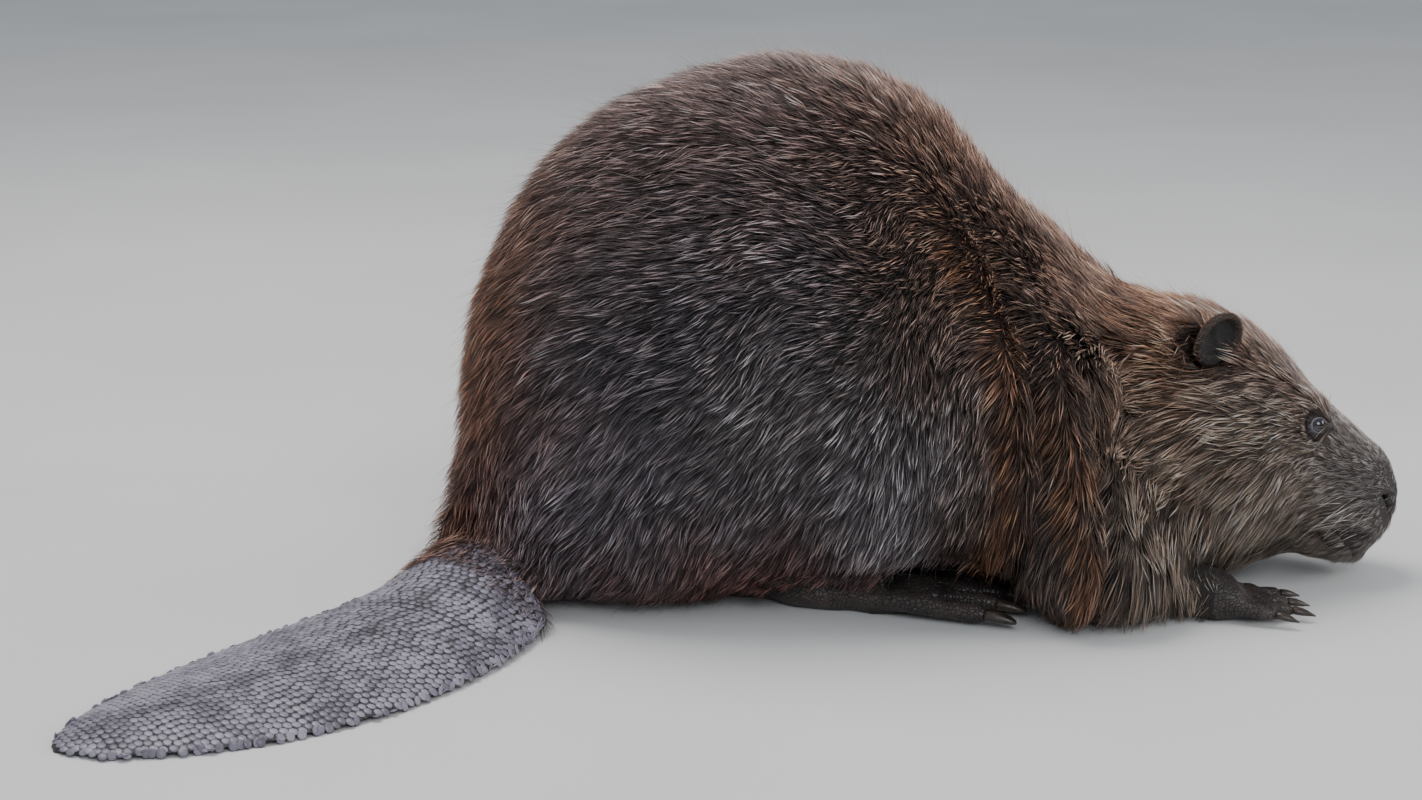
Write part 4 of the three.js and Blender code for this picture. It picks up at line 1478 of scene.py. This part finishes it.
def scale_places():
    tree = BVHTree.FromPolygons(skin_all.tolist(), tris_all.tolist())
    places, outs, alongs, off_keel = [], [], [], []
    for row, s in enumerate(np.arange(8, TAIL_LENGTH - 1, ROW_STEP)):
        middle, along, across = tail_place(s)
        half = TAIL_HALF * math.sqrt(max(0.02, 1 - max(0.0, (s / TAIL_LENGTH - 0.4) / 0.6) ** 2.4))
        loop = []
        for angle in np.radians(np.arange(-40, 221, 1.5)):
            guess = middle + across * half * math.cos(angle) + (0, 0, 6 + 0.45 * half * math.sin(angle))
            found, out, _, _ = tree.find_nearest(Vector(guess) * MM + SHIFT)
            spot = working(np.array(found))
            if spot[2] > LOWEST_SCALE and abs((spot - middle) @ along) < 7:
                loop.append((spot, np.array(out)))
        if len(loop) < 3:
            continue
        spots = np.array([spot for spot, _ in loop])
        walked = np.concatenate([[0], np.cumsum(np.linalg.norm(np.diff(spots, axis=0), axis=1))])
        start = SCALE_STEP * (0.5 if row % 2 else 1.0) + (walked[-1] / 2) % SCALE_STEP - SCALE_STEP
        for stop in np.arange(start, walked[-1], SCALE_STEP):
            if stop < 0:
                continue
            k = min(int(np.searchsorted(walked, stop)), len(loop) - 1)
            places.append(spots[k])
            outs.append(loop[k][1])
            alongs.append(along)
            off_keel.append(abs((spots[k] - middle) @ across))
    places, outs = np.array(places), np.array(outs)
    return places, outs, flat_on(np.array(alongs), outs), 1 - np.exp(-((np.array(off_keel) / 5) ** 2))


scale_at, scale_out, scale_along, scale_light = scale_places()
print("scales:", len(scale_at))

# %% [markdown]
# Scales and whiskers repeat one small shape, each time with its own heading and size. That is a
# task for Geometry Nodes, which keep the sizes as named inputs that are easy to change. Both trees
# plant in the same way: a cloud of points carries directions and sizes, and the tree bends one
# shape, sets a turned copy of it on each point and makes the copies real.

# %% Helpers for planting
def cloud_of(name, places, vectors, numbers):
    """A mesh of loose points with named attributes, for a node tree to work on."""
    mesh = bpy.data.meshes.new(name)
    mesh.from_pydata(np.asarray(places).tolist(), [], [])
    for key, values in vectors.items():
        layer = mesh.attributes.new(key, "FLOAT_VECTOR", "POINT")
        layer.data.foreach_set("vector", np.float32(values).ravel())
    for key, values in numbers.items():
        layer = mesh.attributes.new(key, "FLOAT", "POINT")
        layer.data.foreach_set("value", np.float32(values))
    return in_scene(name, mesh)


class Planting(Nodes):
    """A Geometry Nodes tree that sets one small shape on every point of a cloud."""

    def __init__(self, name, inputs):
        super().__init__(bpy.data.node_groups.new(name, "GeometryNodeTree"))
        sockets = self.graph.interface
        for way in ("INPUT", "OUTPUT"):
            sockets.new_socket("Geometry", in_out=way, socket_type="NodeSocketGeometry")
        self.ids = {}
        for label, value in inputs.items():
            socket = sockets.new_socket(label, in_out="INPUT", socket_type="NodeSocketFloat")
            socket.default_value = value
            self.ids[label] = socket.identifier
        self.source = self.graph.nodes.new("NodeGroupInput").outputs

    def attribute(self, name, kind="FLOAT"):
        return self.node("GeometryNodeInputNamedAttribute", {"data_type": kind}, Name=name)[0]

    def position(self):
        return self.node("ShaderNodeSeparateXYZ", Vector=self.node("GeometryNodeInputPosition")[0])

    def xyz(self, x, y, z):
        return self.node("ShaderNodeCombineXYZ", X=x, Y=y, Z=z)[0]

    def plant(self, shape, bent, up, ahead, size, material):
        """Bends the shape, turns and sizes a copy of it for each point, and ends the tree."""
        shape = self.node("GeometryNodeSetPosition", Geometry=shape, Position=bent)[0]
        axes = {"primary_axis": "Z", "secondary_axis": "X"}
        turn = self.node("FunctionNodeAxesToRotation", axes, _0=up, _1=ahead)[0]
        points = self.node("GeometryNodeMeshToPoints", Mesh=self.source["Geometry"])[0]
        copies = {"Points": points, "Instance": shape, "Rotation": turn, "Scale": size}
        planted = self.node("GeometryNodeInstanceOnPoints", **copies)[0]
        real = self.node("GeometryNodeRealizeInstances", Geometry=planted)[0]
        done = self.node("GeometryNodeSetMaterial", Geometry=real, Material=material)[0]
        self.graph.links.new(done, self.graph.nodes.new("NodeGroupOutput").inputs[0])


def grown(name, cloud, tree, values):
    """Runs a tree on a cloud and keeps the result as a plain mesh."""
    modifier = cloud.modifiers.new("grow", "NODES")
    modifier.node_group = tree.graph
    for label, value in values.items():
        modifier[tree.ids[label]] = value
    mesh = finished_mesh(cloud)
    cloud.modifiers.remove(modifier)
    bpy.data.objects.remove(cloud)
    mesh.name = name
    thing = in_scene(name, mesh)
    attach(thing, BODY)
    return thing


print("steps of planting:", [step for step in vars(Planting) if step[0] != "_"])

# %% [markdown]
# One scale is a squashed ball, tipped up at its rear. Each place brings the way out of the skin,
# the way along the tail, a size and a tint, which is paler away from the tail's keel.

# %% Scales by Geometry Nodes
SCALE_SIZES = {"Scale Length": 5.3 * MM, "Scale Width": 5.6 * MM, "Thickness": 1.1 * MM, "Tilt": 0.4}


def scale_material():
    look = Look("tail_scale", 0.36)
    level = look.maths("MULTIPLY_ADD", look.attribute("tint")["Fac"], 0.5, look.cloud(45, 4.0))
    stops = [(0.40, (66, 62, 70)), (0.72, (108, 104, 116)), (1.00, (146, 141, 154))]
    colour = look.ramp(level, *((place, tinted(shade)) for place, shade in stops))
    return look.finish(colour, look.bump(look.cloud(700), 0.15 * MM, 0.7))


def scale_tree(material):
    tree = Planting("tail_scales", SCALE_SIZES)
    ball = tree.node("GeometryNodeMeshUVSphere", Segments=8, Rings=4, Radius=0.5)[0]
    x, y, z = tree.position()
    tipped = tree.xyz(x, y, tree.maths("MULTIPLY_ADD", x, tree.source["Tilt"], z))
    up, ahead = tree.attribute("out", "FLOAT_VECTOR"), tree.attribute("along", "FLOAT_VECTOR")
    sizes = [tree.source[label] for label in ("Scale Length", "Scale Width", "Thickness")]
    size = tree.xyz(*(tree.maths("MULTIPLY", tree.attribute("size"), length) for length in sizes))
    tree.plant(ball, tipped, up, ahead, size, material)
    return tree


def make_scales():
    dice = np.random.default_rng(SEED + 6)
    count = len(scale_at)
    cloud = cloud_of(
        "scale_places",
        scale_at * MM + np.array(SHIFT) - scale_out * 0.1 * MM,
        {"out": scale_out, "along": scale_along + 0.12 * dice.normal(size=(count, 3))},
        {"size": dice.uniform(0.92, 1.06, count), "tint": 0.6 * dice.random(count) + 0.4 * scale_light},
    )
    scales = grown("tail_scales", cloud, scale_tree(scale_material()), SCALE_SIZES)
    scales.data.polygons.foreach_set("use_smooth", np.full(len(scales.data.polygons), True))
    print("scales piece:", len(scales.data.polygons), "faces")


make_scales()

# %% [markdown]
# ## Claws
#
# Each digit ends in a claw of dark horn: broad and blunt on the webbed hind feet, narrow and curved
# on the hands. A claw is a short horn of rings along a bent line, a little flattened underneath.

# %% Claws
FEET = {
    "hind_right": {"side": -1, "at": (-12, -52), "yaw": -8, "spread": 6, "hand": False},
    "hind_left": {"side": 1, "at": (-50, 70), "yaw": 16, "spread": 6, "hand": False},
    "fore_right": {"side": -1, "at": (262, -92), "yaw": 2, "spread": 13, "hand": True},
    "fore_left": {"side": 1, "at": (256, 92), "yaw": 4, "spread": 13, "hand": True},
}
CLAW_ROUND = 12
CLAW_BEND = 0.10
DIGITS = (-2, -1, 0, 1, 2)


def claw_axes(foot, n):
    """Where a claw begins, its heading, its droop and its sizes, in working millimetres."""
    outer = n * foot["side"]
    if foot["hand"]:
        root, gap, reach = (24, 9.0), 7.5, 70 - (10 if abs(n) == 2 else 0) - (8 if outer == -2 else 0)
        claw, droop, radius = 13, 5, 3.1
    else:
        root, gap, reach = (84, 11.5), 11, 196 + (14 * outer if outer < 0 else -4 * outer)
        claw, droop, radius = 18, 3, 4.5
    yaw, droop = math.radians(foot["yaw"]), math.radians(droop)
    heading = yaw + math.radians(foot["spread"] * n)
    flesh = reach - root[0] - claw
    x = foot["at"][0] + root[0] * math.cos(yaw) - gap * n * math.sin(yaw) + flesh * math.cos(heading)
    y = foot["at"][1] + root[0] * math.sin(yaw) + gap * n * math.cos(yaw) + flesh * math.sin(heading)
    return np.array((x, y, root[1] - flesh * math.tan(droop))), heading, droop, claw, radius


def capped(rings, poles, around):
    """Corners and faces of a tube of rings that is closed by a pole at each end."""
    count = len(rings) // around
    faces = ring_faces(count, around).tolist()
    for pole, first in ((len(rings), 0), (len(rings) + 1, (count - 1) * around)):
        for k in range(around):
            a, b = first + k, first + (k + 1) % around
            faces.append((pole, a, b) if first == 0 else (pole, b, a))
    return np.array([*rings, *poles], float), np.array(faces)


def facing_out(co, faces):
    """The faces of a closed shell, turned round if they look inwards."""
    outwards = np.einsum("ij,ij->", co[faces].mean(1) - co.mean(0), across_faces(co, faces))
    return faces if outwards > 0 else faces[:, ::-1]


def claw_arrays(foot, n):
    start, heading, droop, length, radius = claw_axes(foot, n)
    along = np.array((math.cos(heading), math.sin(heading), 0.0))
    across = np.array((-along[1], along[0], 0.0))
    blunt = 0.35 if foot["hand"] else 0.62
    girths = {0: 0.82, 0.12: 1.0, 0.4: 0.96, 0.65: 0.5 + 0.5 * blunt, 0.85: blunt, 0.97: blunt * 0.6}
    rings = []
    for t, girth in girths.items():
        drop = length * t * math.tan(droop) + CLAW_BEND * length * t * t
        middle = start + along * (length * t) - (0, 0, drop)
        for k in range(CLAW_ROUND):
            angle = 2 * math.pi * k / CLAW_ROUND
            tall = math.sin(angle) * (0.86 if math.sin(angle) > 0 else 0.58)
            rings.append(middle + radius * girth * (across * math.cos(angle) + np.array((0, 0, tall))))
    point = start + along * length - (0, 0, length * (math.tan(droop) + CLAW_BEND))
    vertices, faces = capped(rings, [start, point], CLAW_ROUND)
    vertices[:, 2] = np.maximum(vertices[:, 2], 0.4)
    vertices = vertices * MM + np.array(SHIFT)
    return vertices, facing_out(vertices, faces)


def horn_material():
    look = Look("claw_horn", 0.30)
    colour = look.ramp(look.cloud(160, 4.0), (0.3, tinted((24, 20, 18))), (0.72, tinted((70, 58, 50))))
    return look.finish(colour, look.bump(look.cloud(900, 2.0), 0.12 * MM))


def make_claws():
    parts = [claw_arrays(foot, n) for foot in FEET.values() for n in DIGITS]
    vertices, faces, _ = stacked(parts)
    claws = object_from("claws", vertices, faces, horn_material())
    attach(claws, BODY)
    print("claws:", len(parts))


make_claws()

# %% [markdown]
# ## Whiskers
#
# Stiff pale hairs fan out backwards from the whisker pads, in rows, with two over each eye. A ray
# finds the place of each on the skin, and the second tree plants a slim cone there, which droops a
# little towards its tip.

# %% Whiskers by Geometry Nodes
WHISKER_SIZES = {"Root Width": 0.42 * MM, "Droop": 6.0}


def whisker_roots():
    """Places on the skin and directions, in the animal's axes."""
    dice = np.random.default_rng(SEED + 7)
    tree = BVHTree.FromPolygons(skin_all.tolist(), tris_all.tolist())
    wanted = []
    for row, x in enumerate((94, 89, 84, 79, 74)):
        for k in range(4 if row < 4 else 3):
            wanted.append((x - 1.0 * k, 24, -23 - 6.2 * k, 22 + 5 * row - 2 * k))
    wanted += [(46, 30, 17, 20), (40, 30, 18, 16)]
    places, directions, lengths = [], [], []
    turn = HEAD_TURN.to_3x3()
    for side in SIDES.values():
        for x, y, z, length in wanted:
            start = HEAD @ (Vector((x, side * (y + 40), z)) * MM)
            found = tree.ray_cast(start, turn @ Vector((0, -side, 0)), 0.1)[0]
            if found is None:
                continue
            back = Vector((-0.55, side * 0.62, 0.55 if z > 0 else -0.32))
            heading = back + Vector(dice.normal(0, 0.12, 3))
            places.append(tuple(found))
            directions.append(tuple(turn @ heading.normalized()))
            lengths.append(length * dice.uniform(0.75, 1.15) * MM)
    return np.array(places), np.array(directions), np.array(lengths)


def whisker_material():
    look = Look("whisker", 0.35)
    stops = (0.35, tinted((96, 84, 76))), (0.65, tinted((205, 198, 190)))
    return look.finish(look.ramp(look.cloud(90, 2.0), *stops))


def whisker_tree(material):
    tree = Planting("whiskers", WHISKER_SIZES)
    sizes = {"Radius_Top": 0.12, "Radius_Bottom": 0.5, "Depth": 1.0}
    cone = tree.node("GeometryNodeMeshCone", Vertices=5, Side_Segments=5, **sizes)[0]
    x, y, z = tree.position()
    square = tree.maths("MULTIPLY", z, z)
    bent = tree.xyz(tree.maths("MULTIPLY_ADD", square, tree.source["Droop"], x), y, z)
    width = tree.source["Root Width"]
    size = tree.xyz(width, width, tree.attribute("size"))
    tree.plant(cone, bent, tree.attribute("along", "FLOAT_VECTOR"), (0.0, 0.0, -1.0), size, material)
    return tree


def make_whiskers():
    places, directions, lengths = whisker_roots()
    roots = places - directions * MM
    cloud = cloud_of("whisker_places", roots, {"along": directions}, {"size": lengths})
    whiskers = grown("whiskers", cloud, whisker_tree(whisker_material()), WHISKER_SIZES)
    print("whiskers:", len(places))


make_whiskers()

# %% [markdown]
# ## Eyes
#
# Each eyeball is a smooth ball with a bulge for the cornea, sitting behind its lids. The eye is
# nearly all dark iris; the pupil is a shade darker, and the blue-grey ring of iris round it is a
# painted reflection of the sky. What makes it live is a very smooth surface, which mirrors the sky
# lamp.

# %% Eyeballs
EYE_RINGS = 26
EYE_ROUND = 40
CORNEA = 0.035  # how far its bulge stands out, as a share of the radius


def eye_material():
    look = Look("wet_eye", 0.04, Coat_Weight=1.0, Coat_Roughness=0.02)
    level = look.maths("MULTIPLY_ADD", look.cloud(1500, 2.0), 0.06, look.attribute("from_middle")["Fac"])
    # The blue-grey stop round the pupil is a painted reflection of the sky.
    stops = [(0.24, (7, 7, 9)), (0.32, (40, 42, 50)), (0.55, (30, 29, 35)), (0.66, (12, 11, 13))]
    return look.finish(look.ramp(level, *((place, tinted(shade)) for place, shade in stops)))


def eyeball(name, side, material):
    centre, fore, up = eye_axes(side)
    out = EYE_OUT[side]
    vertices, angles = [], []
    for ring in range(1, EYE_RINGS):
        polar = math.pi * ring / EYE_RINGS
        bulge = EYE_RADIUS * (1 + CORNEA * math.exp(-((polar / 0.55) ** 2)))
        for k in range(EYE_ROUND):
            turn = 2 * math.pi * k / EYE_ROUND
            flat = fore * math.cos(turn) + up * math.sin(turn)
            vertices.append(centre + (flat * math.sin(polar) + out * math.cos(polar)) * bulge)
            angles.append(polar / math.pi * 1.8)
    poles = [centre + out * EYE_RADIUS * (1 + CORNEA), centre - out * EYE_RADIUS]
    vertices, faces = capped(vertices, poles, EYE_ROUND)
    co = from_head(vertices)
    ball = object_from(name, co, facing_out(co, faces), material)
    layer = ball.data.attributes.new("from_middle", "FLOAT", "POINT")
    layer.data.foreach_set("value", np.array([*angles, 0.0, 1.8], np.float32))
    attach(ball, BODY)
    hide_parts(name.replace("eyeball", "eye"))


wet_eye = eye_material()
for side_name, side in SIDES.items():
    eyeball(f"eyeball_{side_name}", side, wet_eye)
print("eyes set")

# %% [markdown]
